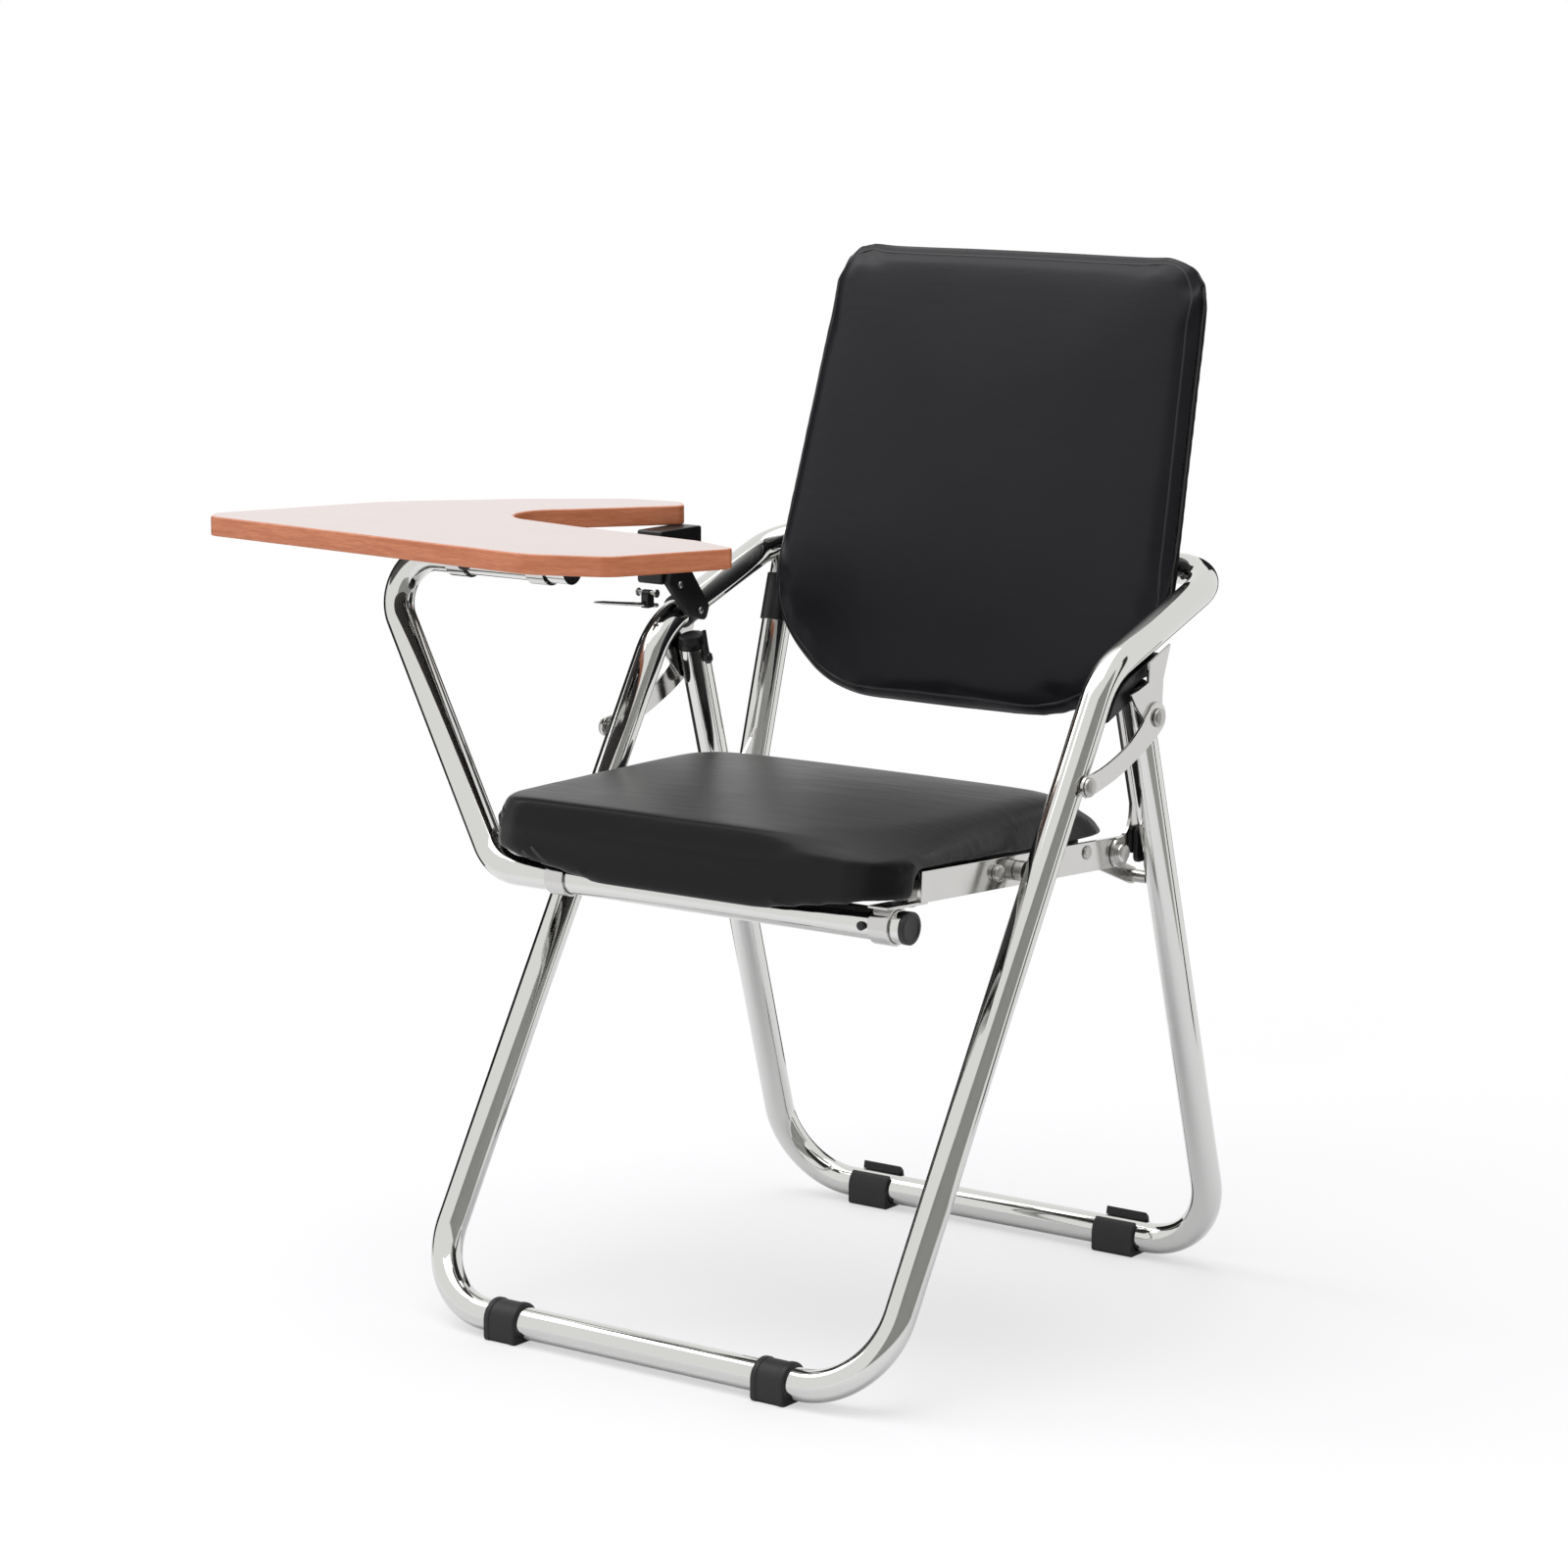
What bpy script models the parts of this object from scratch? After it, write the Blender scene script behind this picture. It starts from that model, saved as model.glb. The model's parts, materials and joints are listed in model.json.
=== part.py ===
# Folding chair with a writing tablet on the sitter's right, metres, +Z up, chair faces -Y
from math import atan, atan2, ceil, cos, pi, radians, sin, sqrt, tan

import bmesh
import bpy
import numpy as np
from mathutils import Vector
from mathutils.geometry import delaunay_2d_cdt

for old in list(bpy.data.objects):
    bpy.data.objects.remove(old, do_unlink=True)

# Frame tube
TUBE_D = 0.0254
TUBE_R = TUBE_D / 2
GAP = 0.0003
SINK = 0.0007
SOLE = 0.003
RAIL_Z = SOLE + TUBE_R
LEG_X = 0.2175
FRONT_Y = -0.248
FRONT_LEAN = 0.6084
REAR_Y = 0.2505
REAR_LEAN = 0.2944
FLOOR_BEND = 0.066
ARM_Z = 0.523
ARM_RISE = 0.35
ARM_BEND = 0.070
BOW_BEND = 0.040
BOW_CLEAR = 0.003

# Seat and its pivots
SEAT_PIVOT_Z = 0.3795
SEAT_TILT = 0.059
LEG_PIVOT_Z = 0.484
SEAT_HALF = 0.199
SEAT_FRONT = -0.205
SEAT_REAR = 0.108
BOARD_T = 0.008
RAIL_H = 0.024
BAR_T = 0.004
PLATE_T = 0.0025
PAD_RISE = 0.0265
PAD_CROWN = 0.020
SKIRT_DROP = 0.0400

# Backrest
RECLINE = 0.2857
BACK_Y = 0.198
BACK_Z = 0.600
BACK_BOTTOM_Z = 0.459
BACK_TALL = 0.397
BACK_TOP_HALF = 0.1850
BACK_LOW_HALF = 0.2030
BACK_PAD_T = 0.020
BACK_CROWN = 0.011
BACK_BOARD_T = 0.005
UPRIGHT_X = 0.203
UPRIGHT_SET = 0.034

# Writing tablet
TABLET_Z = 0.621
TABLET_T = 0.016
EDGE_T = 0.002
SADDLE_BACK = 0.030

SIDES = 20
SMALL = 16


# Points of the frame that follow from the sizes above
def front_y(z):
    return FRONT_Y + FRONT_LEAN * (z - RAIL_Z)


def rear_y(z):
    return REAR_Y - REAR_LEAN * (z - RAIL_Z)


def face_y(z):
    return BACK_Y + RECLINE * (z - BACK_Z)


ARM_Y = front_y(ARM_Z)
LEAN = atan(RECLINE)
BACK_DEEP = BACK_PAD_T + GAP + BACK_BOARD_T + GAP
BOW_SET = (BACK_DEEP + BOW_CLEAR + TUBE_R) / cos(LEAN)
BOW_Y = (BACK_Y + RECLINE * (ARM_Z - ARM_RISE * ARM_Y - BACK_Z) + BOW_SET) / (1 - RECLINE * ARM_RISE)
BOW_Z = ARM_Z + ARM_RISE * (BOW_Y - ARM_Y)
PIVOT_A = (rear_y(LEG_PIVOT_Z), LEG_PIVOT_Z)
PIVOT_B = (front_y(SEAT_PIVOT_Z), SEAT_PIVOT_Z)
RAIL_TOP = PIVOT_B[1] + RAIL_H / 2
RAIL_LOW = RAIL_TOP - RAIL_H
BOARD_TOP = RAIL_TOP
BOARD_BOTTOM = BOARD_TOP - BOARD_T
SADDLE_TOP = RAIL_LOW - 0.0010
SADDLE_FLAT = (SEAT_FRONT + SADDLE_BACK, SADDLE_TOP - 0.0030 - TUBE_R)
LEG_IN = LEG_X - TUBE_R
LEG_OUT = LEG_X + TUBE_R
EAR_OUT = LEG_IN - 0.0050
EAR_IN = EAR_OUT - 0.0030
RAIL_OUT = EAR_IN - 0.0005
RAIL_IN = RAIL_OUT - BAR_T
LINK_OUT = RAIL_IN - 0.0018
LINK_IN = LINK_OUT - 0.0030
BOARD_HALF = LINK_IN - 0.0025
SEAT_SWING = radians(43.0)
REAR_SWING = -(atan(FRONT_LEAN) + atan(REAR_LEAN))


def turned(v, a):
    return np.array([v[0] * cos(a) - v[1] * sin(a), v[0] * sin(a) + v[1] * cos(a)])


# The seat is drawn level, then tipped back about its pivot
def tipped(p):
    spot = np.array(PIVOT_B) + turned(np.array(p) - np.array(PIVOT_B), -atan(SEAT_TILT))
    return (float(spot[0]), float(spot[1]))


LINK_FLAT = (PIVOT_B[0] + 0.100, PIVOT_B[1] + 0.0040)
LINK_P = tipped(LINK_FLAT)
STUD_FLAT = (PIVOT_B[0] + 0.1465, PIVOT_B[1])
STUD = tipped(STUD_FLAT)
SADDLE = tipped(SADDLE_FLAT)

# The rear link pin is where one link length fits both the open and the folded chair
LEG_DOWN = np.array([sin(atan(REAR_LEAN)), -cos(atan(REAR_LEAN))])
FOLD_P = np.array(PIVOT_B) + turned(np.array(LINK_P) - np.array(PIVOT_B), SEAT_SWING)
OPEN_REACH = np.array(PIVOT_A) - np.array(LINK_P)
FOLD_REACH = np.array(PIVOT_A) - FOLD_P
LINK_DROP = (FOLD_REACH @ FOLD_REACH - OPEN_REACH @ OPEN_REACH) / (
    2 * (LEG_DOWN @ OPEN_REACH - turned(LEG_DOWN, REAR_SWING) @ FOLD_REACH)
)
LINK_Q = tuple(np.array(PIVOT_A) + LINK_DROP * LEG_DOWN)

# Bodies that move: one empty on each joint axis
root = bpy.data.objects.new("chair_root", None)
bpy.context.scene.collection.objects.link(root)
BODIES = {}


def body(name, x, y, z):
    empty = bpy.data.objects.new(name, None)
    empty.location = (x, y, z)
    empty.parent = root
    bpy.context.scene.collection.objects.link(empty)
    BODIES[name] = empty
    return empty


FRONT = body("front_body", 0, 0, 0)
REAR = body("rear_body", 0, PIVOT_A[0], PIVOT_A[1])
SEAT = body("seat_body", 0, PIVOT_B[0], PIVOT_B[1])
LINK = {
    1: body("link_left_body", 0, LINK_P[0], LINK_P[1]),
    -1: body("link_right_body", 0, LINK_P[0], LINK_P[1]),
}
TABLET = body("tablet_body", 0, SADDLE[0], SADDLE[1])
LATCH_PIN = (ARM_Y - 0.0157, TABLET_Z - TABLET_T - 0.0520)
LATCH = body("latch_body", 0, LATCH_PIN[0], LATCH_PIN[1])


# Materials
def material(name, colour, rough, metal):
    mat = bpy.data.materials.new(name)
    mat.use_nodes = True
    shader = mat.node_tree.nodes["Principled BSDF"]
    shader.inputs["Base Color"].default_value = (*colour, 1)
    shader.inputs["Roughness"].default_value = rough
    shader.inputs["Metallic"].default_value = metal
    return mat


CHROME = ((0.78, 0.78, 0.80), 0.12, 1.0)
STEEL = ((0.66, 0.66, 0.68), 0.25, 1.0)
RUBBER = ((0.015, 0.015, 0.016), 0.75, 0.0)
PLASTIC = ((0.02, 0.02, 0.022), 0.45, 0.0)
LEATHER = ((0.025, 0.024, 0.027), 0.5, 0.0)
PLY = ((0.32, 0.22, 0.13), 0.6, 0.0)
LAMINATE = ((0.72, 0.50, 0.42), 0.3, 0.0)
CHERRY = ((0.42, 0.13, 0.06), 0.4, 0.0)


# Mesh helpers: every shape is made in chair coordinates, then handed to its body
def finish(name, verts, faces, look, owner):
    mesh = bpy.data.meshes.new(name)
    at = np.array(owner.location)
    if owner == SEAT:
        verts = [(v[0], *tipped((v[1], v[2]))) for v in verts]
    mesh.from_pydata([tuple(np.array(v) - at) for v in verts], [], faces)
    bm = bmesh.new()
    bm.from_mesh(mesh)
    bmesh.ops.recalc_face_normals(bm, faces=bm.faces[:])
    bm.to_mesh(mesh)
    bm.free()
    mesh.materials.append(material(name, *look))
    obj = bpy.data.objects.new(name, mesh)
    obj.parent = owner
    bpy.context.scene.collection.objects.link(obj)
    return obj


def rounded(points, radii, closed, turn=radians(11)):
    """Corners of a polyline replaced by arcs of the given radii."""
    pts = [np.array(p, float) for p in points]
    n = len(pts)
    out = []
    for i, p in enumerate(pts):
        if not closed and i in (0, n - 1):
            out.append(p)
            continue
        a = pts[i - 1] - p
        b = pts[(i + 1) % n] - p
        a = a / np.linalg.norm(a)
        b = b / np.linalg.norm(b)
        bend = pi - np.arccos(np.clip(a @ b, -1, 1))
        r = radii[i] if hasattr(radii, "__len__") else radii
        if bend < 1e-4 or r <= 0:
            out.append(p)
            continue
        axis = (a + b) / np.linalg.norm(a + b)
        centre = p + axis * r / cos(bend / 2)
        foot = p + a * r * tan(bend / 2) - centre
        side = -a
        steps = max(2, ceil(bend / turn))
        for k in range(steps + 1):
            t = bend * k / steps
            out.append(centre + foot * cos(t) + side * r * sin(t))
    return np.array(out)


def tube(name, path, radius, closed, look, owner, sides=SIDES):
    """A round section carried along a path without twist."""
    path = np.array(path, float)
    n = len(path)
    if closed:
        tang = np.roll(path, -1, 0) - np.roll(path, 1, 0)
    else:
        tang = np.gradient(path, axis=0)
        for i in range(1, n - 1):
            ahead = path[i + 1] - path[i]
            behind = path[i] - path[i - 1]
            tang[i] = ahead / np.linalg.norm(ahead) + behind / np.linalg.norm(behind)
    tang = tang / np.linalg.norm(tang, axis=1)[:, None]
    u = np.cross(tang[0], [0.1, 0.2, 1.0])
    u = u / np.linalg.norm(u)
    frames = []
    for t in tang:
        u = u - t * (u @ t)
        u = u / np.linalg.norm(u)
        frames.append((u, np.cross(t, u)))
    twist = 0.0
    if closed:
        back = frames[-1][0] - tang[0] * (frames[-1][0] @ tang[0])
        twist = atan2(back @ frames[0][1], back @ frames[0][0])
    verts = []
    for i, (p, (u, v)) in enumerate(zip(path, frames)):
        off = -twist * i / n
        for k in range(sides):
            a = 2 * pi * k / sides + off
            verts.append(p + radius * (u * cos(a) + v * sin(a)))
    faces = []
    for i in range(n if closed else n - 1):
        j = (i + 1) % n
        for k in range(sides):
            m = (k + 1) % sides
            faces.append((i * sides + k, i * sides + m, j * sides + m, j * sides + k))
    if not closed:
        faces.append(tuple(reversed(range(sides))))
        faces.append(tuple(range((n - 1) * sides, n * sides)))
    return finish(name, verts, faces, look, owner)


def circle(c, r, n=SMALL):
    return [(c[0] + r * cos(2 * pi * k / n), c[1] + r * sin(2 * pi * k / n)) for k in range(n)]


def filled(loops):
    """Triangles between an outline and its holes, as places in the joined list of points."""
    flat = [Vector((p[0] * 1000, p[1] * 1000)) for loop in loops for p in loop]
    edges = []
    start = 0
    for loop in loops:
        edges += [(start + k, start + (k + 1) % len(loop)) for k in range(len(loop))]
        start += len(loop)
    found = delaunay_2d_cdt(flat, edges, [], 0, 1e-6)
    tris = []
    for face in found[2]:
        c = (found[0][face[0]] + found[0][face[1]] + found[0][face[2]]) / 3
        crossings = 0
        for i, j in edges:
            a = flat[i]
            b = flat[j]
            if (a.y > c.y) != (b.y > c.y) and c.x < a.x + (c.y - a.y) * (b.x - a.x) / (b.y - a.y):
                crossings += 1
        if crossings % 2:
            tris.append(tuple(found[3][k][0] for k in face))
    return tris


def slab(name, outline, holes, low, high, look, owner, axis=0):
    """A flat outline with holes, given thickness along axis 0 (x) or 2 (z)."""
    loops = [[tuple(p) for p in outline]] + [list(h) for h in holes]
    flat = [p for loop in loops for p in loop]
    tris = filled(loops)
    n = len(flat)

    def lift(p, h):
        return (h, p[0], p[1]) if axis == 0 else (p[0], p[1], h)

    verts = [lift(p, low) for p in flat] + [lift(p, high) for p in flat]
    faces = [tuple(t) for t in tris] + [tuple(i + n for i in reversed(t)) for t in tris]
    start = 0
    for loop in loops:
        m = len(loop)
        for k in range(m):
            a = start + k
            b = start + (k + 1) % m
            faces.append((a, b, b + n, a + n))
        start += m
    return finish(name, verts, faces, look, owner)


def lathe(name, profile, centre, direction, look, owner, sides=SMALL):
    """A profile of (radius, distance) pairs turned about a line."""
    w = np.array(direction, float)
    w = w / np.linalg.norm(w)
    u = np.cross(w, [0.31, 0.2, 0.9] if abs(w[2]) < 0.9 else [1.0, 0, 0])
    u = u / np.linalg.norm(u)
    v = np.cross(w, u)
    c = np.array(centre, float)
    verts = []
    rings = []
    for r, h in profile:
        if r <= 1e-9:
            rings.append([len(verts)])
            verts.append(c + w * h)
        else:
            rings.append(list(range(len(verts), len(verts) + sides)))
            for k in range(sides):
                a = 2 * pi * k / sides
                verts.append(c + w * h + r * (u * cos(a) + v * sin(a)))
    closed = len(rings[0]) > 1 and len(rings[-1]) > 1
    pairs = list(zip(rings, rings[1:] + rings[:1])) if closed else list(zip(rings, rings[1:]))
    faces = []
    for a, b in pairs:
        for k in range(sides):
            m = (k + 1) % sides
            if len(a) == 1:
                faces.append((a[0], b[m], b[k]))
            elif len(b) == 1:
                faces.append((a[k], a[m], b[0]))
            else:
                faces.append((a[k], a[m], b[m], b[k]))
    return finish(name, verts, faces, look, owner)


def rings_solid(name, rings, first, last, look, owner):
    """Loops of equal count joined in order and closed at two middle points."""
    n = len(rings[0])
    verts = [tuple(first)] + [tuple(p) for ring in rings for p in ring] + [tuple(last)]
    faces = []
    for k in range(n):
        m = (k + 1) % n
        faces.append((0, 1 + m, 1 + k))
        for i in range(len(rings) - 1):
            a = 1 + i * n
            b = a + n
            faces.append((a + k, a + m, b + m, b + k))
        e = 1 + (len(rings) - 1) * n
        faces.append((e + k, e + m, len(verts) - 1))
    return finish(name, verts, faces, look, owner)


def resampled(loop, count):
    """A closed flat loop given this many evenly spaced points."""
    p = np.vstack([loop, loop[:1]])
    s = np.concatenate([[0], np.cumsum(np.linalg.norm(np.diff(p, axis=0), axis=1))])
    t = np.linspace(0, s[-1], count, endpoint=False)
    return np.stack([np.interp(t, s, p[:, 0]), np.interp(t, s, p[:, 1])], 1)


def inset(loop, d):
    """A closed flat loop, anticlockwise, moved inwards by d."""
    e = np.roll(loop, -1, 0) - np.roll(loop, 1, 0)
    e = e / np.linalg.norm(e, axis=1)[:, None]
    return loop + d * np.stack([-e[:, 1], e[:, 0]], 1)


def cut(obj, cutter, mode="DIFFERENCE"):
    cutter.hide_render = True
    cutter.display_type = "WIRE"
    mod = obj.modifiers.new("cut", "BOOLEAN")
    mod.operation = mode
    mod.solver = "EXACT"
    mod.object = cutter


# Front frame: rail, legs, arms and the bow behind the back are one closed loop of tube
loop = [
    (LEG_X, FRONT_Y, RAIL_Z),
    (LEG_X, ARM_Y, ARM_Z),
    (LEG_X, BOW_Y, BOW_Z),
    (-LEG_X, BOW_Y, BOW_Z),
    (-LEG_X, ARM_Y, ARM_Z),
    (-LEG_X, FRONT_Y, RAIL_Z),
]
bends = [FLOOR_BEND, ARM_BEND, BOW_BEND, BOW_BEND, ARM_BEND, FLOOR_BEND]
frame_path = rounded(loop, bends, True)
tube("front_frame", frame_path, TUBE_R, True, CHROME, FRONT)

# Rear frame: a U of the same tube, hung from the arms
TOP_Z = LEG_PIVOT_Z + 0.017
rear = [
    (LEG_X, rear_y(TOP_Z), TOP_Z),
    (LEG_X, REAR_Y, RAIL_Z),
    (-LEG_X, REAR_Y, RAIL_Z),
    (-LEG_X, rear_y(TOP_Z), TOP_Z),
]
tube("rear_frame", rounded(rear, [0, FLOOR_BEND, FLOOR_BEND, 0], False), TUBE_R, False, CHROME, REAR)

# Rubber feet: closed sleeves in front, open saddles behind, all with a flat sole
FOOT_R = TUBE_R + 0.0032
FOOT_HALF = 0.0195
FOOT_X = LEG_X - FLOOR_BEND - FOOT_HALF - 0.0020
for side, tag in ((1, "left"), (-1, "right")):
    arc = [(FRONT_Y + FOOT_R * cos(a), RAIL_Z + FOOT_R * sin(a)) for a in np.linspace(0, pi, 13)]
    low = [(FRONT_Y - FOOT_R, 0.002), (FRONT_Y - FOOT_R + 0.002, 0.0)]
    low += [(FRONT_Y + FOOT_R - 0.002, 0.0), (FRONT_Y + FOOT_R, 0.002)]
    bore = circle((FRONT_Y, RAIL_Z), (TUBE_R + GAP), 24)
    x = side * FOOT_X
    slab("front_foot_" + tag, arc + low, [bore], x - FOOT_HALF, x + FOOT_HALF, RUBBER, FRONT)
    open_half = radians(32)
    inner = [
        (REAR_Y + (TUBE_R + GAP) * cos(a), RAIL_Z + (TUBE_R + GAP) * sin(a))
        for a in np.linspace(pi / 2 + open_half, 2.5 * pi - open_half, 21)
    ]
    outer = [
        (REAR_Y + FOOT_R * cos(a), RAIL_Z + FOOT_R * sin(a))
        for a in np.linspace(pi / 2 - open_half, 0, 6)
    ]
    outer += [(REAR_Y + FOOT_R, 0.002), (REAR_Y + FOOT_R - 0.002, 0.0)]
    outer += [(REAR_Y - FOOT_R + 0.002, 0.0), (REAR_Y - FOOT_R, 0.002)]
    outer += [
        (REAR_Y + FOOT_R * cos(a), RAIL_Z + FOOT_R * sin(a))
        for a in np.linspace(pi, pi / 2 + open_half, 6)
    ]
    x = side * (FOOT_X - 0.005)
    slab("rear_foot_" + tag, inner + outer, [], x - FOOT_HALF, x + FOOT_HALF, RUBBER, REAR)

# Leg joint: gusset under the arm, brace bar from the front leg, rivet, and a plug in the rear leg's end
STRAP_PIN = (front_y(0.4430), 0.4430)
GUSSET_IN = LEG_OUT + GAP
GUSSET_OUT = GUSSET_IN + PLATE_T
STRAP_IN = GUSSET_OUT + GAP
STRAP_OUT = STRAP_IN + PLATE_T


def arm_under(y):
    return ARM_Z + ARM_RISE * (y - ARM_Y) - TUBE_R * sqrt(1 + ARM_RISE ** 2)


RIVET_R = 0.0042
GUSSET_NOTCH = [(-0.0097, 0.0284), (-0.0246, 0.0240), (-0.0351, 0.0222), (-0.0276, 0.0120)]
for side, tag in ((1, "left"), (-1, "right")):
    a = np.array(PIVOT_A)
    tip = (a[0] - 0.0087, arm_under(a[0] - 0.0087) + 0.003)
    back = (a[0] + 0.0230, arm_under(a[0] + 0.0230) + 0.004)
    notch = [tuple(a + np.array(p)) for p in GUSSET_NOTCH]
    turns = np.linspace(radians(205), radians(375), 9)
    base = [tuple(a + 0.0115 * np.array([cos(t), sin(t)])) for t in turns]
    plate = [tip] + notch + base + [(a[0] + 0.0124, a[1] + 0.0287), back]
    low, high = sorted((side * GUSSET_IN, side * GUSSET_OUT))
    slab("gusset_" + tag, plate, [circle(PIVOT_A, RIVET_R + GAP)], low, high, CHROME, FRONT)
    p = np.array(STRAP_PIN)
    mid = (p + a) / 2 + np.array([0.012, -0.011])
    line = [(1 - t) ** 2 * p + 2 * t * (1 - t) * mid + t * t * a for t in np.linspace(0, 1, 13)]
    line = np.array(line)
    tang = np.gradient(line, axis=0)
    tang = tang / np.linalg.norm(tang, axis=1)[:, None]
    norm = np.stack([-tang[:, 1], tang[:, 0]], 1)
    wide = np.interp(np.linspace(0, 1, 13), [0, 0.15, 0.6, 1], [0.0085, 0.0078, 0.0085, 0.0125])
    up = line + norm * wide[:, None]
    down = line - norm * wide[:, None]
    head = [tuple(a + 0.0125 * (tang[-1] * cos(t) + norm[-1] * sin(t))) for t in np.linspace(-1.2, 1.2, 7)]
    foot = [tuple(p + 0.0085 * (-tang[0] * cos(t) + norm[0] * sin(t))) for t in np.linspace(1.2, -1.2, 7)]
    bar = [tuple(q) for q in down] + head + [tuple(q) for q in up[::-1]] + foot
    holes = [circle(PIVOT_A, RIVET_R + GAP), circle(STRAP_PIN, RIVET_R + GAP)]
    low, high = sorted((side * STRAP_IN, side * STRAP_OUT))
    slab("brace_" + tag, bar, holes, low, high, CHROME, FRONT)
    for pin, label in ((PIVOT_A, "leg_rivet_"), (STRAP_PIN, "brace_rivet_")):
        head_at = STRAP_OUT + GAP - LEG_OUT
        profile = [
            (0, GAP),
            (RIVET_R, GAP),
            (RIVET_R, head_at),
            (0.0075, head_at),
            (0.0068, head_at + 0.0022),
            (0.0040, head_at + 0.0036),
            (0, head_at + 0.0040),
        ]
        lathe(label + tag, profile, (side * LEG_OUT, pin[0], pin[1]), (side, 0, 0), STEEL, FRONT)
    up_leg = np.array([0, -sin(atan(REAR_LEAN)), cos(atan(REAR_LEAN))])
    plug = [(0, GAP), (TUBE_R, GAP), (TUBE_R, 0.004), (0.0115, 0.0075), (0.0075, 0.0100), (0, 0.0110)]
    top = (side * LEG_X, rear_y(TOP_Z), TOP_Z)
    lathe("rear_plug_" + tag, plug, top, up_leg, PLASTIC, REAR, SIDES)


# Backrest: local frame with x across, v up the slope and w towards the sitter
UP = np.array([0, sin(LEAN), cos(LEAN)])
OUT = np.array([0, -cos(LEAN), sin(LEAN)])
BASE = np.array([0, face_y(BACK_BOTTOM_Z), BACK_BOTTOM_Z])


def on_back(u, v, w):
    return BASE + np.array([u, 0, 0]) + v * UP + w * OUT


corners = [
    (BACK_TOP_HALF, BACK_TALL),
    (-BACK_TOP_HALF, BACK_TALL),
    (-BACK_LOW_HALF, 0.19 * BACK_TALL),
    (-0.63 * BACK_LOW_HALF, 0),
    (0.63 * BACK_LOW_HALF, 0),
    (BACK_LOW_HALF, 0.19 * BACK_TALL),
]
outline = rounded([(c[0], c[1], 0) for c in corners], [0.043, 0.043, 0.10, 0.13, 0.13, 0.10], True)[:, :2]
outline = resampled(outline, 84)
centre = np.array([0, 0.52 * BACK_TALL])


def back_ring(d, w):
    return [on_back(p[0], p[1], w) for p in inset(outline, d)]


def back_dome(s):
    flat = inset(outline, 0.020)
    h = 0.0012 + BACK_CROWN * (1 - s ** 2)
    return [on_back(*(centre + (p - centre) * s), h) for p in flat]


T = BACK_PAD_T
rings = [
    [on_back(*(centre + (p - centre) * 0.5), -T) for p in inset(outline, 0.0120)],
    back_ring(0.0120, -T),
    back_ring(0.0060, -0.93 * T),
    back_ring(0.0022, -0.78 * T),
    back_ring(0.0026, -0.66 * T),
    back_ring(0.0006, -0.54 * T),
    back_ring(0.0010, -0.42 * T),
    back_ring(0.0026, -0.31 * T),
    back_ring(0.0040, -0.17 * T),
    back_ring(0.0095, -0.03 * T),
    back_ring(0.0200, 0.0012),
    back_dome(0.93),
    back_dome(0.82),
    back_dome(0.62),
    back_dome(0.36),
]
first = on_back(0, centre[1], -T)
last = on_back(0, centre[1], 0.0012 + BACK_CROWN)
rings_solid("back_pad", rings, first, last, LEATHER, FRONT)

# Backboard behind the pad
panel = inset(outline, 0.0165)[::2]
BACK_A = -T - GAP
BACK_B = BACK_A - BACK_BOARD_T
rings = [
    [on_back(p[0], p[1], BACK_B) for p in inset(panel, 0.0015)],
    [on_back(p[0], p[1], BACK_B + 0.0015) for p in panel],
    [on_back(p[0], p[1], BACK_A) for p in panel],
]
rings_solid("back_board", rings, on_back(0, centre[1], BACK_B), on_back(0, centre[1], BACK_A), PLASTIC, FRONT)

# Saddles that hold the backboard on the bow, each with two screws
CLIP_R = TUBE_R + GAP
CLIP_T = 0.0020
BOW_V = (np.array([0, BOW_Y, BOW_Z]) - BASE) @ UP
BOW_W = (np.array([0, BOW_Y, BOW_Z]) - BASE) @ OUT
CLIP_X = 0.50 * LEG_X
flange = BACK_B - GAP
for side, tag in ((1, "left"), (-1, "right")):
    arc_in = [(CLIP_R * sin(a), -CLIP_R * cos(a)) for a in np.linspace(-pi / 2, pi / 2, 13)]
    ring_r = CLIP_R + CLIP_T
    arc_out = [(ring_r * sin(a), -ring_r * cos(a)) for a in np.linspace(pi / 2, -pi / 2, 13)]
    top_w = flange - BOW_W
    low_w = top_w - CLIP_T
    shape = arc_in + [(CLIP_R, top_w), (CLIP_R + 0.016, top_w), (CLIP_R + 0.016, low_w), (ring_r, low_w)]
    shape += arc_out + [(-ring_r, low_w), (-CLIP_R - 0.016, low_w)]
    shape += [(-CLIP_R - 0.016, top_w), (-CLIP_R, top_w)]
    n = len(shape)
    tris = filled([shape])
    x0 = side * CLIP_X - 0.011
    x1 = side * CLIP_X + 0.011
    verts = [on_back(x, BOW_V + p[0], BOW_W + p[1]) for x in (x0, x1) for p in shape]
    faces = [tuple(t) for t in tris] + [tuple(i + n for i in reversed(t)) for t in tris]
    faces += [(k, (k + 1) % n, (k + 1) % n + n, k + n) for k in range(n)]
    clip = finish("bow_saddle_" + tag, verts, faces, STEEL, FRONT)
    for sgn, label in ((1, "upper"), (-1, "lower")):
        spot = on_back(side * CLIP_X, BOW_V + sgn * (CLIP_R + 0.0095), flange - CLIP_T)
        dome = [(0, -SINK), (0.0045, -SINK), (0.0040, 0.0018), (0.0022, 0.0027), (0, 0.0029)]
        cut(clip, lathe("guide_bow_screw_" + label + "_" + tag, dome, spot, -OUT, STEEL, FRONT, 12), "UNION")

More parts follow.
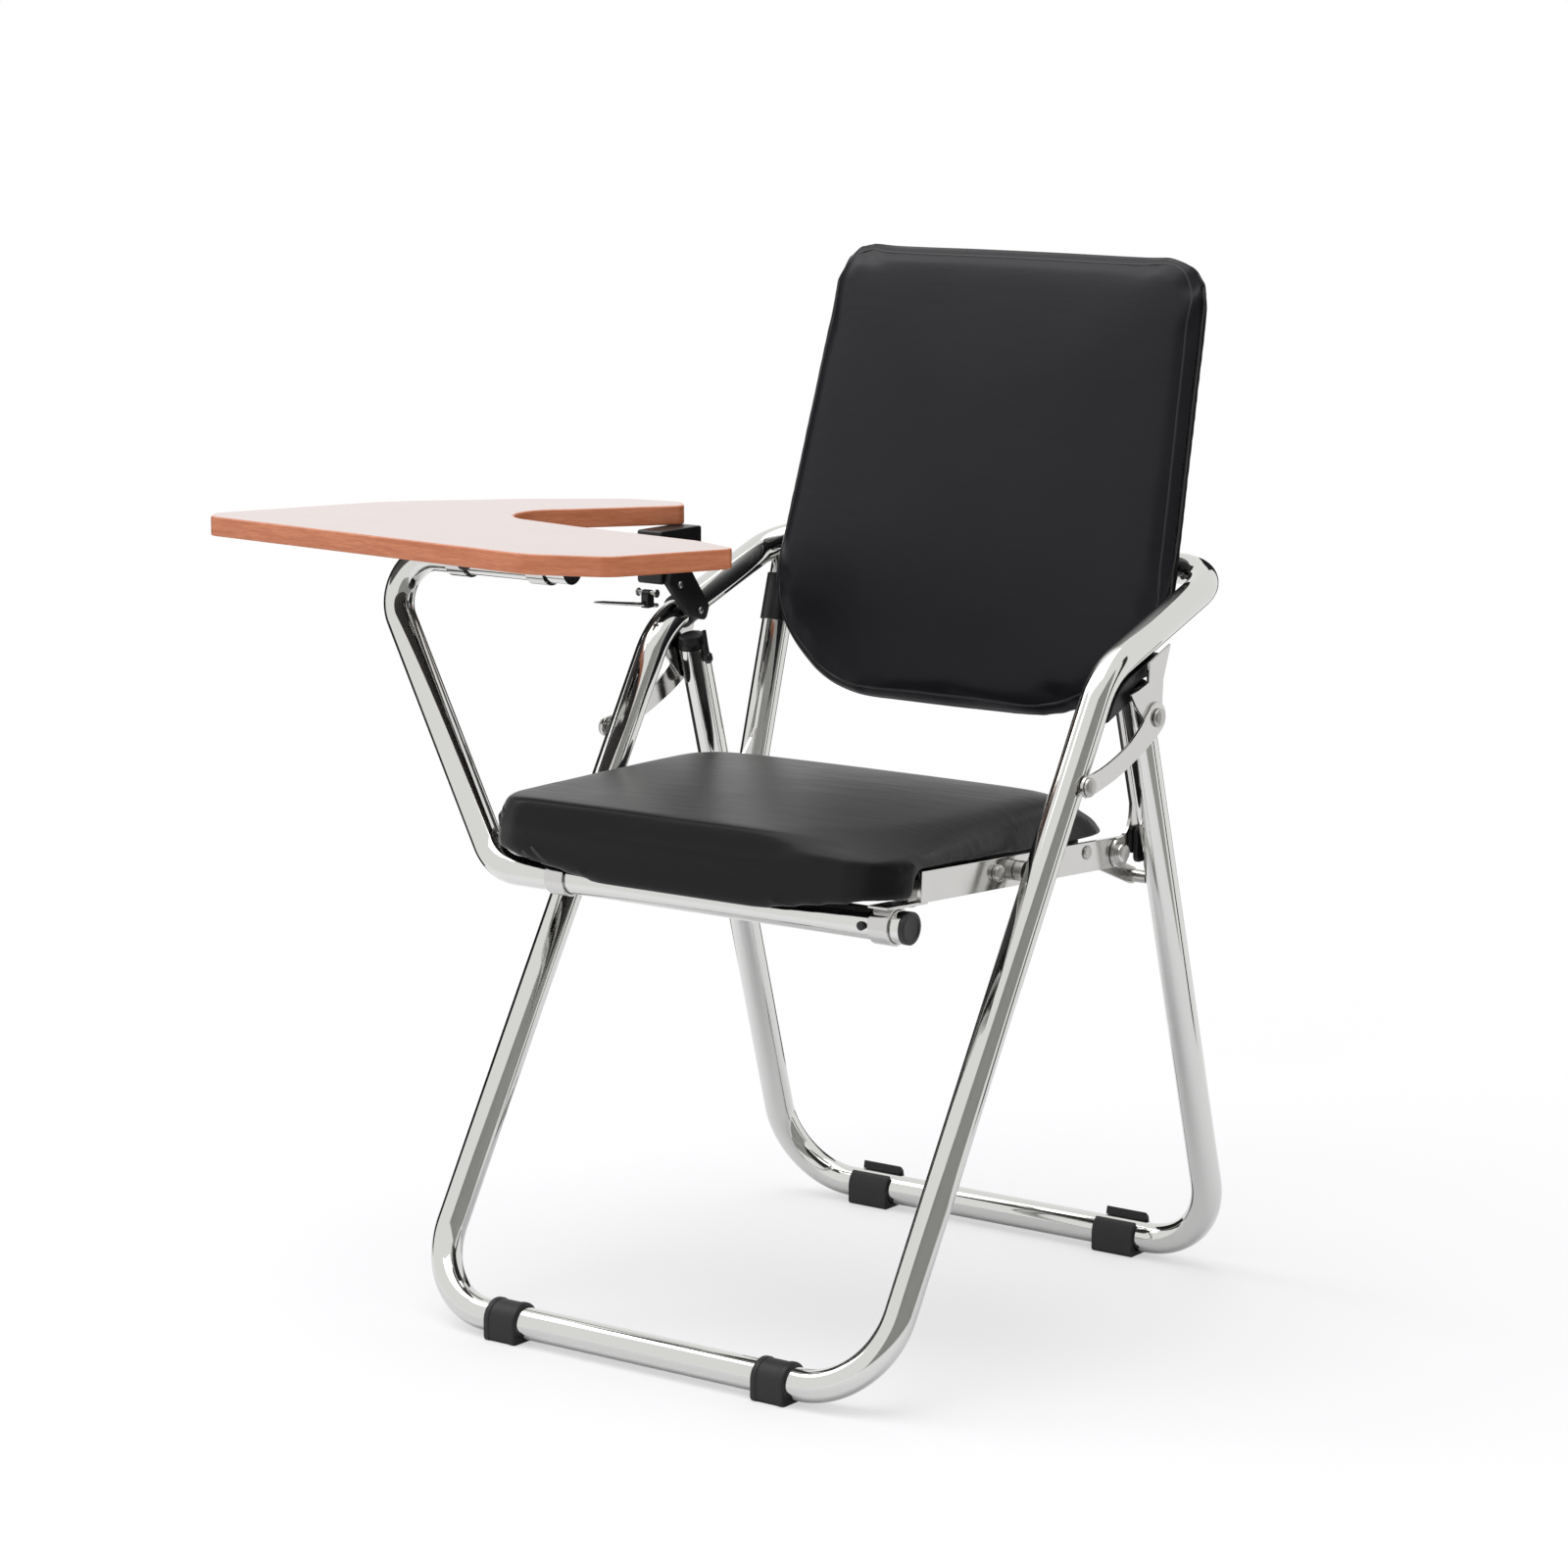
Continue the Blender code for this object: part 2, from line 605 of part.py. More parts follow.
# Black block in the corner under the near arm, clear of the rear leg's swinging end
BLOCK_GAP = 0.0007
BLOCK_HALF = 0.0085
BLOCK_ALONG_ARM = 0.0435
BLOCK_ALONG_LEG = 0.0100
SWING_R = 0.0315
leg_out = np.array([-1, FRONT_LEAN]) / sqrt(1 + FRONT_LEAN ** 2)
arm_out = np.array([-ARM_RISE, 1]) / sqrt(1 + ARM_RISE ** 2)
both = leg_out + arm_out
bend_mid = np.array([ARM_Y, ARM_Z]) - both * (2 * ARM_BEND / (both @ both))
hug = ARM_BEND - TUBE_R - BLOCK_GAP
turns = np.linspace(atan2(arm_out[1], arm_out[0]), atan2(leg_out[1], leg_out[0]), 9)
arc = [bend_mid + hug * np.array([cos(a), sin(a)]) for a in turns]
arm_end = arc[0] + BLOCK_ALONG_ARM * np.array([arm_out[1], -arm_out[0]])
leg_end = arc[-1] - BLOCK_ALONG_LEG * np.array([leg_out[1], -leg_out[0]])
swing = [
    np.array(PIVOT_A) + SWING_R * np.array([cos(a), sin(a)])
    for a in np.linspace(radians(155), radians(75), 9)
]
wedge = [tuple(p) for p in [arm_end] + arc + [leg_end] + swing]
slab("corner_block", wedge, [], LEG_X - BLOCK_HALF, LEG_X + BLOCK_HALF, PLASTIC, FRONT)

# Plates that carry the rear of the seat, each with a headed stud
STUD_R = 0.0040
EAR_R = 0.0125
nose = [
    tuple(np.array(STUD) + EAR_R * np.array([cos(t), sin(t)]))
    for t in np.linspace(radians(105), radians(350), 12)
]


def bowed(start, knee, end):
    """The middle of a curve from start to end that leans towards the knee."""
    p, q, r = np.array(start), np.array(knee), np.array(end)
    return [tuple((1 - t) ** 2 * p + 2 * t * (1 - t) * q + t * t * r) for t in np.linspace(0.12, 0.9, 7)]


def studded(plate, side):
    """The plate with the stud on which a seat rail rests."""
    stud = [
        (0, RAIL_IN - 0.0004),
        (STUD_R, RAIL_IN - 0.0004),
        (STUD_R, EAR_OUT - SINK),
        (0.0080, EAR_OUT - SINK),
        (0.0080, EAR_OUT + 0.0028),
        (0.0062, EAR_OUT + 0.0042),
        (0, EAR_OUT + 0.0043),
    ]
    solid = lathe("guide_stud_" + plate.name, stud, (0, STUD[0], STUD[1]), (side, 0, 0), STEEL, FRONT)
    cut(plate, solid, "UNION")


# Upright on the tablet side, from the bow down to the seat, with a black sleeve, an end plug and an ear
UP_LOW = SEAT_PIVOT_Z + 0.0155
UP_HIGH = BOW_Z - 0.0275
UP_JOIN = BOW_Z - 0.0105
SLEEVE_SET = 0.045
SLEEVE_TALL = 0.040


def upright_y(z):
    return face_y(z) + UPRIGHT_SET


ends = [(-UPRIGHT_X, upright_y(UP_LOW), UP_LOW), (-UPRIGHT_X, upright_y(UP_JOIN), UP_JOIN)]
post = tube("upright", ends, TUBE_R, False, CHROME, FRONT)
cut(post, tube("guide_bow", frame_path, TUBE_R + GAP, True, CHROME, FRONT, 32))
sleeve = [(TUBE_R + GAP, 0), (TUBE_R + 0.0016, 0)]
sleeve += [(TUBE_R + 0.0016, SLEEVE_TALL), (TUBE_R + GAP, SLEEVE_TALL)]
z = UP_HIGH - SLEEVE_SET
lathe("upright_sleeve", sleeve, (-UPRIGHT_X, upright_y(z), z), UP, PLASTIC, FRONT, SIDES)
plug = [(0, GAP), (TUBE_R, GAP), (TUBE_R, 0.003), (0.0105, 0.0065), (0.006, 0.0085), (0, 0.0092)]
lathe("upright_plug", plug, ends[0], -UP, PLASTIC, FRONT, SIDES)
front = sqrt(TUBE_R ** 2 - (UPRIGHT_X - EAR_OUT) ** 2) / cos(LEAN) + GAP
rise = [(upright_y(z) - front, z) for z in (UP_LOW + 0.0065, UP_LOW + 0.0300)]
knee = (0.55 * (STUD[0] + 0.008) + 0.45 * rise[1][0], 0.80 * (STUD[1] + 0.012) + 0.20 * rise[1][1])
ear = slab("seat_ear", nose + rise + bowed(rise[1], knee, nose[0]), [], -EAR_OUT, -EAR_IN, CHROME, FRONT)
studded(ear, -1)

# Hanger on the other side: a plate from the arm down behind the rear leg, riveted to the arm at its eye
HANGER_WIDE = 0.0150
HANGER_LOW = 0.3620
HANGER_BEND_Z = 0.4080
EYE_R = 0.0060
EYE_Y = REAR_Y + HANGER_WIDE / 2 - REAR_LEAN * (ARM_Z - ARM_RISE * ARM_Y - RAIL_Z)
EYE_Y = EYE_Y / (1 + REAR_LEAN * ARM_RISE)
EYE_Z = ARM_Z + ARM_RISE * (EYE_Y - ARM_Y)
eye = np.array([EYE_Y, EYE_Z])
half = HANGER_WIDE / 2 * cos(atan(REAR_LEAN))
leg_rear = np.array([-LEG_DOWN[1], LEG_DOWN[0]])
crest = [tuple(eye + half * (leg_rear * cos(t) - LEG_DOWN * sin(t))) for t in np.linspace(0, pi, 9)]
heel = (rear_y(HANGER_LOW) + HANGER_WIDE, HANGER_LOW)
bend = (rear_y(HANGER_BEND_Z), HANGER_BEND_Z)
arch = bowed(bend, (bend[0], nose[0][1]), nose[0])
hanger = slab("seat_hanger", nose + [heel] + crest + [bend] + arch, [], EAR_IN, EAR_OUT, CHROME, FRONT)
rivet = [(0, EAR_IN - 0.0026), (0.0042, EAR_IN - 0.0026), (EYE_R, EAR_IN - 0.0014)]
rivet += [(EYE_R, LEG_IN - GAP), (0, LEG_IN - GAP)]
cut(hanger, lathe("guide_eye", rivet, (0, EYE_Y, EYE_Z), (1, 0, 0), STEEL, FRONT), "UNION")
studded(hanger, 1)

# Pad on the hanger's foot, towards the rear leg
PAD_TALL = 0.0290
PAD_WIDE = 0.0235
PAD_AHEAD = 0.0120
PAD_ROUND = 0.0050
y0 = rear_y(HANGER_LOW) - PAD_AHEAD
z0 = HANGER_LOW - 0.0020
pad = [(y0, z0, 0), (y0 + PAD_WIDE, z0, 0), (y0 + PAD_WIDE, z0 + PAD_TALL, 0), (y0, z0 + PAD_TALL, 0)]
pad = rounded(pad, [PAD_ROUND] * 4, True)[:, :2]
slab("hanger_pad", pad, [], EAR_OUT + GAP, LEG_IN - 2 * GAP, PLASTIC, FRONT)

# Seat rails: flat bars pivoted on the front legs, notched at the rear to drop over the studs
RAIL_FRONT = SEAT_FRONT + 0.0470
RAIL_REAR = STUD_FLAT[0] + 0.0130
PIVOT_R = 0.0040
LINK_R = 0.0032
BOLT = (PIVOT_B[0] - 0.0300, PIVOT_B[1] + 0.0010)
BLOCK_FRONT = RAIL_FRONT + 0.018
BLOCK_REAR = PIVOT_B[0] - 0.019
for side, tag in ((1, "left"), (-1, "right")):
    slot = STUD_R + GAP
    y, z = STUD_FLAT
    notch = [(y + slot * cos(a), z + slot * sin(a)) for a in np.linspace(pi, 0, 9)]
    bar = [(RAIL_FRONT, RAIL_LOW), (y - slot, RAIL_LOW)] + notch
    bar += [(y + slot, RAIL_LOW), (RAIL_REAR - 0.004, RAIL_LOW), (RAIL_REAR, RAIL_LOW + 0.004)]
    bar += [(RAIL_REAR, RAIL_TOP - 0.006), (RAIL_REAR - 0.006, RAIL_TOP), (RAIL_FRONT, RAIL_TOP)]
    holes = [circle(PIVOT_B, PIVOT_R + GAP), circle(LINK_FLAT, LINK_R + GAP), circle(BOLT, LINK_R + GAP)]
    low, high = sorted((side * RAIL_IN, side * RAIL_OUT))
    slab("seat_rail_" + tag, bar, holes, low, high, CHROME, SEAT)
    pivot = [
        (0, RAIL_IN - 0.0032),
        (0.0072, RAIL_IN - 0.0032),
        (0.0072, RAIL_IN - GAP),
        (PIVOT_R, RAIL_IN - GAP),
        (PIVOT_R, RAIL_OUT + GAP),
        (0.0080, RAIL_OUT + GAP),
        (0.0080, LEG_IN - 0.0004),
        (0, LEG_IN - 0.0004),
    ]
    lathe("seat_pivot_" + tag, pivot, (0, PIVOT_B[0], PIVOT_B[1]), (side, 0, 0), STEEL, SEAT)
    block = [
        (BLOCK_FRONT, BOLT[1] - 0.0070),
        (BLOCK_REAR, BOLT[1] - 0.0070),
        (BLOCK_REAR, BOARD_TOP - 0.0010),
        (BLOCK_FRONT, BOARD_TOP - 0.0010),
    ]
    low, high = sorted((side * (BOARD_HALF + GAP), side * (RAIL_IN - GAP)))
    spacer = slab("rail_block_" + tag, block, [], low, high, STEEL, SEAT)
    bolt = [
        (0, BOARD_HALF + 0.0012),
        (LINK_R, BOARD_HALF + 0.0012),
        (LINK_R, RAIL_OUT + GAP),
        (0.0066, RAIL_OUT + GAP),
        (0.0066, RAIL_OUT + 0.0040),
        (0.0050, RAIL_OUT + 0.0052),
        (0, RAIL_OUT + 0.0053),
    ]
    cut(spacer, lathe("guide_bolt_" + tag, bolt, (0, BOLT[0], BOLT[1]), (side, 0, 0), STEEL, SEAT), "UNION")
    pin = [
        (0, LINK_IN - 0.0016),
        (0.0058, LINK_IN - 0.0016),
        (0.0058, LINK_IN - GAP),
        (LINK_R, LINK_IN - GAP),
        (LINK_R, RAIL_OUT + GAP),
        (0.0058, RAIL_OUT + GAP),
        (0.0048, RAIL_OUT + 0.0018),
        (0, RAIL_OUT + 0.0020),
    ]
    lathe("link_pin_" + tag, pin, (0, LINK_FLAT[0], LINK_FLAT[1]), (side, 0, 0), STEEL, SEAT)
    run = np.array(LINK_Q) - np.array(LINK_P)
    run = run / np.linalg.norm(run)
    over = np.array([-run[1], run[0]])
    half = 0.0068
    turns = np.linspace(-pi / 2, pi / 2, 9)
    bar = [tuple(np.array(LINK_Q) + half * (run * cos(t) + over * sin(t))) for t in turns]
    bar += [tuple(np.array(LINK_P) - half * (run * cos(t) + over * sin(t))) for t in turns]
    low, high = sorted((side * LINK_IN, side * LINK_OUT))
    link = slab("fold_link_" + tag, bar, [circle(LINK_P, LINK_R + GAP)], low, high, STEEL, LINK[side])
    stub = [
        (0, LINK_IN - 0.0016),
        (0.0052, LINK_IN - 0.0016),
        (0.0052, LEG_IN - 0.0004),
        (0, LEG_IN - 0.0004),
    ]
    spot = (0, LINK_Q[0], LINK_Q[1])
    cut(link, lathe("guide_stub_" + tag, stub, spot, (side, 0, 0), STEEL, LINK[side]), "UNION")

# Seat board and pad
BOARD_FRONT = SEAT_FRONT + 0.0140
BOARD_REAR = SEAT_REAR - 0.012
plan = [
    (BOARD_HALF, BOARD_FRONT, 0),
    (BOARD_HALF, BOARD_REAR, 0),
    (-BOARD_HALF, BOARD_REAR, 0),
    (-BOARD_HALF, BOARD_FRONT, 0),
]
board = rounded(plan, [0.048, 0.025, 0.025, 0.048], True, radians(15))[:, :2]
slab("seat_board", board, [], BOARD_BOTTOM, BOARD_TOP, PLY, SEAT, 2)

PAD_LOW = BOARD_TOP + 0.0005
SEAT_ROUND = 0.040
REAR_HALF = SEAT_HALF - 0.003
plan = [
    (SEAT_HALF, SEAT_FRONT, 0),
    (REAR_HALF, SEAT_REAR, 0),
    (-REAR_HALF, SEAT_REAR, 0),
    (-SEAT_HALF, SEAT_FRONT, 0),
]
outline = resampled(rounded(plan, [SEAT_ROUND] * 4, True)[:, :2], 92)
middle = np.array([0, (SEAT_FRONT + SEAT_REAR) / 2])
SKIRT_END = RAIL_FRONT - 0.0025
for sgn in (1, -1):
    edge = [k for k in range(len(outline)) if sgn * outline[k][0] > 0.9 * SEAT_HALF]
    behind = min((k for k in edge if outline[k][1] > SKIRT_END), key=lambda k: outline[k][1])
    ahead = max((k for k in edge if outline[k][1] <= SKIRT_END), key=lambda k: outline[k][1])
    outline[behind][1] = SKIRT_END + 0.0001
    outline[ahead][1] = SKIRT_END - 0.0061


SKIRT_FULL = 0.38
SKIRT_TAPER = 0.54
SKIRT_THICK = 0.0105
SKIRT_LIFT = 0.0015


def pad_low(x, y):
    t = np.clip((SKIRT_END - y) / 0.006, 0, 1)
    e = np.clip((abs(x) / SEAT_HALF - SKIRT_FULL) / SKIRT_TAPER, 0, 1)
    drop = SKIRT_DROP * (1 - e) + (RAIL_H - SKIRT_LIFT) * e
    return PAD_LOW - drop * t * t * (3 - 2 * t)


CORNER_POWER = 6


def squared(p, share):
    """A point of a rear corner pushed out by a share of the way to a nearly square corner."""
    side = np.sign(p[0])
    centre = np.array([side * (REAR_HALF - SEAT_ROUND), SEAT_REAR - SEAT_ROUND])
    reach = np.maximum((p - centre) * [side, 1], 0)
    if reach.min() < 1e-6:
        return p
    grow = np.linalg.norm(reach) / (reach ** CORNER_POWER).sum() ** (1 / CORNER_POWER)
    return centre + (p - centre) * (1 + share * (grow - 1))


def seat_ring(d, rise, skirt=True):
    """The seat outline drawn in by d, at a share of the height from its lower edge to the shoulder."""
    flat = inset(np.array([squared(p, 1 - rise) for p in outline]), d)
    out = []
    for p, o in zip(flat, outline):
        low = pad_low(o[0], o[1]) if skirt else PAD_LOW
        out.append((p[0], p[1], low + (PAD_LOW + PAD_RISE - low) * rise))
    return out


def seat_dome(s):
    flat = inset(outline, 0.024)
    out = []
    for p in flat:
        q = middle + (p - middle) * s
        out.append((q[0], q[1], PAD_LOW + PAD_RISE + PAD_CROWN * (0.12 + 0.88 * (1 - s ** 2.4))))
    return out


rings = [
    [(*(middle + (p - middle) * 0.5), PAD_LOW) for p in inset(outline, SKIRT_THICK)],
    seat_ring(SKIRT_THICK, 0.0, False),
    seat_ring(SKIRT_THICK - 0.001, 0.0),
    seat_ring(0.0035, 0.0),
    seat_ring(0.0008, 0.10),
    seat_ring(0.0020, 0.30),
    seat_ring(0.0008, 0.52),
    seat_ring(0.0000, 0.62),
    seat_ring(0.0022, 0.70),
    seat_ring(0.0012, 0.76),
    seat_ring(0.0050, 0.89),
    seat_ring(0.0120, 0.975),
    seat_dome(1.0),
    seat_dome(0.86),
    seat_dome(0.66),
    seat_dome(0.38),
]
low_mid = (0, middle[1], PAD_LOW)
top_mid = (0, middle[1], PAD_LOW + PAD_RISE + PAD_CROWN)
rings_solid("seat_pad", rings, low_mid, top_mid, LEATHER, SEAT)

# Crossbar under the front of the board, which carries the saddles
BAR_CLEAR = 0.0020
BAR_DEPTH = 0.0225
bar_front = SKIRT_END + BAR_CLEAR
bar_rear = bar_front + BAR_DEPTH
bar = [(bar_front, SADDLE_TOP + GAP), (bar_rear, SADDLE_TOP + GAP)]
bar += [(bar_rear, BOARD_BOTTOM - GAP), (bar_front, BOARD_BOTTOM - GAP)]
slab("seat_crossbar", bar, [], -BOARD_HALF, BOARD_HALF, STEEL, SEAT)

# Saddles under the seat front, in which the tablet's tube turns
SADDLE_IN = TUBE_R + GAP
SADDLE_OUT = SADDLE_IN + 0.0020
SADDLE_NEAR_SET = 0.0258
SADDLE_FAR_SET = 0.0748
SADDLE_X = {1: LEG_IN - SADDLE_NEAR_SET, -1: -LEG_IN + SADDLE_FAR_SET}
for side, tag in ((1, "left"), (-1, "right")):
    y, z = SADDLE_FLAT
    lip = sqrt(max(SADDLE_OUT ** 2 - (SADDLE_TOP - 0.0025 - z) ** 2, 1e-8))
    a0 = atan2(SADDLE_TOP - 0.0025 - z, lip)
    ring = [(y + SADDLE_OUT * cos(a), z + SADDLE_OUT * sin(a)) for a in np.linspace(pi - a0, 2 * pi + a0, 19)]
    tab = [(bar_rear, SADDLE_TOP - 0.0025), (bar_rear, SADDLE_TOP), (y - SADDLE_OUT, SADDLE_TOP)]
    tab += [(y - SADDLE_OUT, SADDLE_TOP - 0.0021)]
    x = SADDLE_X[side]
    bore = circle(SADDLE_FLAT, SADDLE_IN, 24)
    saddle = slab("tablet_saddle_" + tag, ring + tab, [bore], x - 0.009, x + 0.009, CHROME, SEAT)
    head = [(0, -SINK), (0.0046, -SINK), (0.0042, 0.0018), (0.0024, 0.0027), (0, 0.0029)]
    spot = (x, bar_rear - 0.0100, SADDLE_TOP - 0.0025)
    cut(saddle, lathe("guide_saddle_screw_" + tag, head, spot, (0, 0, -1), STEEL, SEAT, 12), "UNION")

# Tablet support: one tube from the saddles, up outside the far leg and along under the board
BOARD_UNDER = TABLET_Z - TABLET_T
RUN_Z = BOARD_UNDER - GAP - TUBE_R
RUN_SET = 0.0700
RUN_Y = SADDLE[0] + RUN_SET
RUN_OUT = 0.1655
RUN_IN = 0.0375
TUBE_END_SET = 0.0085
TUBE_END = LEG_IN - TUBE_END_SET
path = [
    (TUBE_END, SADDLE[0], SADDLE[1]),
    (-SEAT_HALF + 0.0010, SADDLE[0], SADDLE[1]),
    (-LEG_X - RUN_OUT, RUN_Y, RUN_Z),
    (-LEG_X + RUN_IN, RUN_Y, RUN_Z),
]
arm_path = rounded(path, [0, 0.045, 0.034, 0], False, radians(9))
tube("tablet_tube", arm_path, TUBE_R, False, CHROME, TABLET)
cap = [(0, GAP), (TUBE_R, GAP), (TUBE_R, 0.0030), (0.0112, 0.0042), (0, 0.0044)]
lathe("tube_cap", cap, path[0], (1, 0, 0), PLASTIC, TABLET, SIDES)
end = np.array(path[3]) - np.array(path[2])
lathe("run_cap", cap, path[3], end, PLASTIC, TABLET, SIDES)
stop_at = SADDLE_X[1] - 0.009 - 0.0060
stop = [(0, GAP), (0.0036, GAP), (0.0036, 0.0022), (0.0024, 0.0030), (0, 0.0031)]
lathe("stop_screw", stop, (stop_at, SADDLE[0] - TUBE_R - 0.0001, SADDLE[1]), (0, -1, 0), STEEL, TABLET, 12)

# Writing board: kidney notch for the sitter, straight front, rounded far corner, edge band all round
TX = -LEG_X
TY = PIVOT_A[0] - 0.0206
shape = [
    (-0.2625, -0.2910, 0.010),
    (0.0950, -0.3240, 0.050),
    (0.1580, -0.2985, 0.030),
    (0.2045, -0.1990, 0.010),
    (0.1500, -0.1770, 0.020),
    (0.0150, -0.1620, 0.050),
    (-0.1180, -0.1370, 0.040),
    (-0.0560, -0.0730, 0.060),
    (0.0020, 0.0020, 0.010),
    (-0.0180, 0.0235, 0.014),
    (-0.0660, 0.0160, 0.060),
    (-0.1400, -0.0420, 0.150),
    (-0.2180, -0.1250, 0.150),
    (-0.2765, -0.2700, 0.012),
]
plan = [(TX + p[0], TY + p[1], 0) for p in shape]
outer = rounded(plan, [p[2] for p in shape], True, radians(14))[:, :2]


def thinned(loop, least):
    keep = [loop[0]]
    for p in loop[1:]:
        if np.linalg.norm(p - keep[-1]) > least and np.linalg.norm(p - loop[0]) > least * 0.5:
            keep.append(p)
    return np.array(keep)


outer = thinned(outer, 0.0015)
band_in = inset(outer, EDGE_T)
core = inset(outer, EDGE_T + GAP)
slab("tablet_edge", outer, [[tuple(p) for p in band_in]], BOARD_UNDER, TABLET_Z, CHERRY, TABLET, 2)
slab("tablet_board", core, [], BOARD_UNDER, TABLET_Z, LAMINATE, TABLET, 2)

# Straps that hold the board on the tube's upper run, with screws, and a small bumper
for x, tag in ((-0.288, "outer"), (-0.205, "inner")):
    along = (x - path[2][0]) / (path[3][0] - path[2][0])
    y = path[2][1] + along * (path[3][1] - path[2][1])
    z = RUN_Z
    r0 = TUBE_R + GAP + 0.0002
    r1 = r0 + 0.0018
    top = BOARD_UNDER - GAP
    arc_in = [(y + r0 * cos(a), z + r0 * sin(a)) for a in np.linspace(pi, 2 * pi, 13)]
    arc_out = [(y + r1 * cos(a), z + r1 * sin(a)) for a in np.linspace(2 * pi, pi, 13)]
    strap = arc_in + [(y + r0, top), (y + 0.030, top), (y + 0.030, top - 0.0018), (y + r1, top - 0.0018)]
    strap += arc_out + [(y - r1, top - 0.0018), (y - 0.030, top - 0.0018), (y - 0.030, top), (y - r0, top)]
    clip = slab("board_strap_" + tag, strap, [], x - 0.009, x + 0.009, STEEL, TABLET)
    for sgn, label in ((1, "rear"), (-1, "front")):
        head = [(0, -SINK), (0.0042, -SINK), (0.0036, 0.0018), (0.0020, 0.0025), (0, 0.0027)]
        spot = (x, y + sgn * 0.0225, top - 0.0018)
        screw = lathe("guide_board_screw_" + tag + "_" + label, head, spot, (0, 0, -1), STEEL, TABLET, 12)
        cut(clip, screw, "UNION")
bump = [(0, GAP), (0.0055, GAP), (0.0050, 0.0045), (0.0030, 0.0062), (0, 0.0066)]
lathe("board_bumper", bump, (TX + 0.008, TY - 0.292, BOARD_UNDER), (0, 0, -1), RUBBER, TABLET)

# Arm bracket: clamp on the arm, rest block for the board's rear finger, latch lever and release pull
REST_TOP = BOARD_UNDER - 0.0006
REST_LOW = BOARD_UNDER - 0.0450
REST_FRONT = ARM_Y - 0.0280
REST_REAR = ARM_Y + 0.0560
rest = [
    (REST_FRONT, REST_LOW + 0.002),
    (REST_FRONT + 0.002, REST_LOW),
    (REST_REAR - 0.024, REST_LOW),
    (REST_REAR, REST_TOP - 0.016),
    (REST_REAR, REST_TOP - 0.001),
    (REST_REAR - 0.001, REST_TOP),
    (REST_FRONT + 0.001, REST_TOP),
    (REST_FRONT, REST_TOP - 0.001),
]
block = slab("tablet_rest", rest, [], -LEG_X - 0.0145, -LEG_X + 0.0145, PLASTIC, FRONT)

ARM_DIR = np.array([0, 1, ARM_RISE]) / sqrt(1 + ARM_RISE ** 2)
CLAMP_Y = ARM_Y + 0.0400
CLAMP_Z = ARM_Z + ARM_RISE * 0.0400
CLAMP_R = TUBE_R + 0.0045
NECK_TOP = REST_LOW - GAP
neck = [
    (CLAMP_Y - 0.0200, NECK_TOP),
    (CLAMP_Y - 0.0240, NECK_TOP - 0.0060),
    (CLAMP_Y - 0.0060, CLAMP_Z - 0.0110),
    (CLAMP_Y + 0.0110, CLAMP_Z - 0.0110),
    (CLAMP_Y + 0.0115, CLAMP_Z + 0.0060),
    (CLAMP_Y - 0.0040, NECK_TOP),
]
clamp = slab("arm_clamp", neck, [], -LEG_X - 0.0150, -LEG_X + 0.0185, PLASTIC, FRONT)
hull = [(0, -0.0125), (CLAMP_R, -0.0125), (CLAMP_R, 0.0125), (0, 0.0125)]
cylinder = lathe("guide_clamp", hull, (-LEG_X, CLAMP_Y, CLAMP_Z), ARM_DIR, PLASTIC, FRONT, 24)
bore = [(0, -0.06), (TUBE_R + GAP, -0.06), (TUBE_R + GAP, 0.06), (0, 0.06)]
cutter = lathe("guide_bore", bore, (-LEG_X, CLAMP_Y, CLAMP_Z), ARM_DIR, PLASTIC, FRONT, SIDES * 2)
cut(clamp, cylinder, "UNION")
cut(clamp, cutter)
wide = [(CLAMP_Y - 0.06, CLAMP_Z - 0.06), (CLAMP_Y + 0.06, CLAMP_Z - 0.06)]
wide += [(CLAMP_Y + 0.06, CLAMP_Z + 0.06), (CLAMP_Y - 0.06, CLAMP_Z + 0.06)]
cut(clamp, slab("guide_open", wide, [], -LEG_OUT - 0.05, -LEG_OUT + 0.0006, PLASTIC, FRONT))

for side, tag in ((1, "inner"), (-1, "outer")):
    low, high = sorted((-LEG_X + side * 0.0060, -LEG_X + side * 0.0085))
    y, z = LATCH_PIN
    cheek = [(y + 0.0065, REST_LOW + SINK), (y - 0.0065, REST_LOW + SINK)]
    cheek += [(y + 0.0065 * cos(a), z + 0.0065 * sin(a)) for a in np.linspace(pi, 2 * pi, 9)]
    hole = circle(LATCH_PIN, 0.0022 + GAP, 12)
    cut(block, slab("guide_cheek_" + tag, cheek, [hole], low, high, PLASTIC, FRONT), "UNION")
y, z = LATCH_PIN
pin = [(0, -0.0102), (0.0036, -0.0102), (0.0036, -0.0088), (0.0022, -0.0088)]
pin += [(0.0022, 0.0088), (0.0036, 0.0088), (0.0036, 0.0102), (0, 0.0102)]
lathe("latch_pin", pin, (-LEG_X, y, z), (1, 0, 0), STEEL, FRONT, 12)
ROD_Z = z - 0.0100
knuckle = [(y + 0.0055, ROD_Z - 0.0050), (y + 0.0055, z)]
knuckle += [(y + 0.0055 * cos(a), z + 0.0055 * sin(a)) for a in np.linspace(0.3, pi - 0.3, 7)]
knuckle += [(y - 0.0055, z), (y - 0.0055, ROD_Z - 0.0050)]
hole = circle(LATCH_PIN, 0.0022 + GAP, 12)
knob = slab("latch_block", knuckle, [hole], -LEG_X - 0.0055, -LEG_X + 0.0055, PLASTIC, LATCH)
rod_cut = [(0, -0.05), (0.0019 + GAP, -0.05), (0.0019 + GAP, 0.05), (0, 0.05)]
ROD_DIR = np.array([0, -1, 0.14]) / sqrt(1 + 0.14 ** 2)
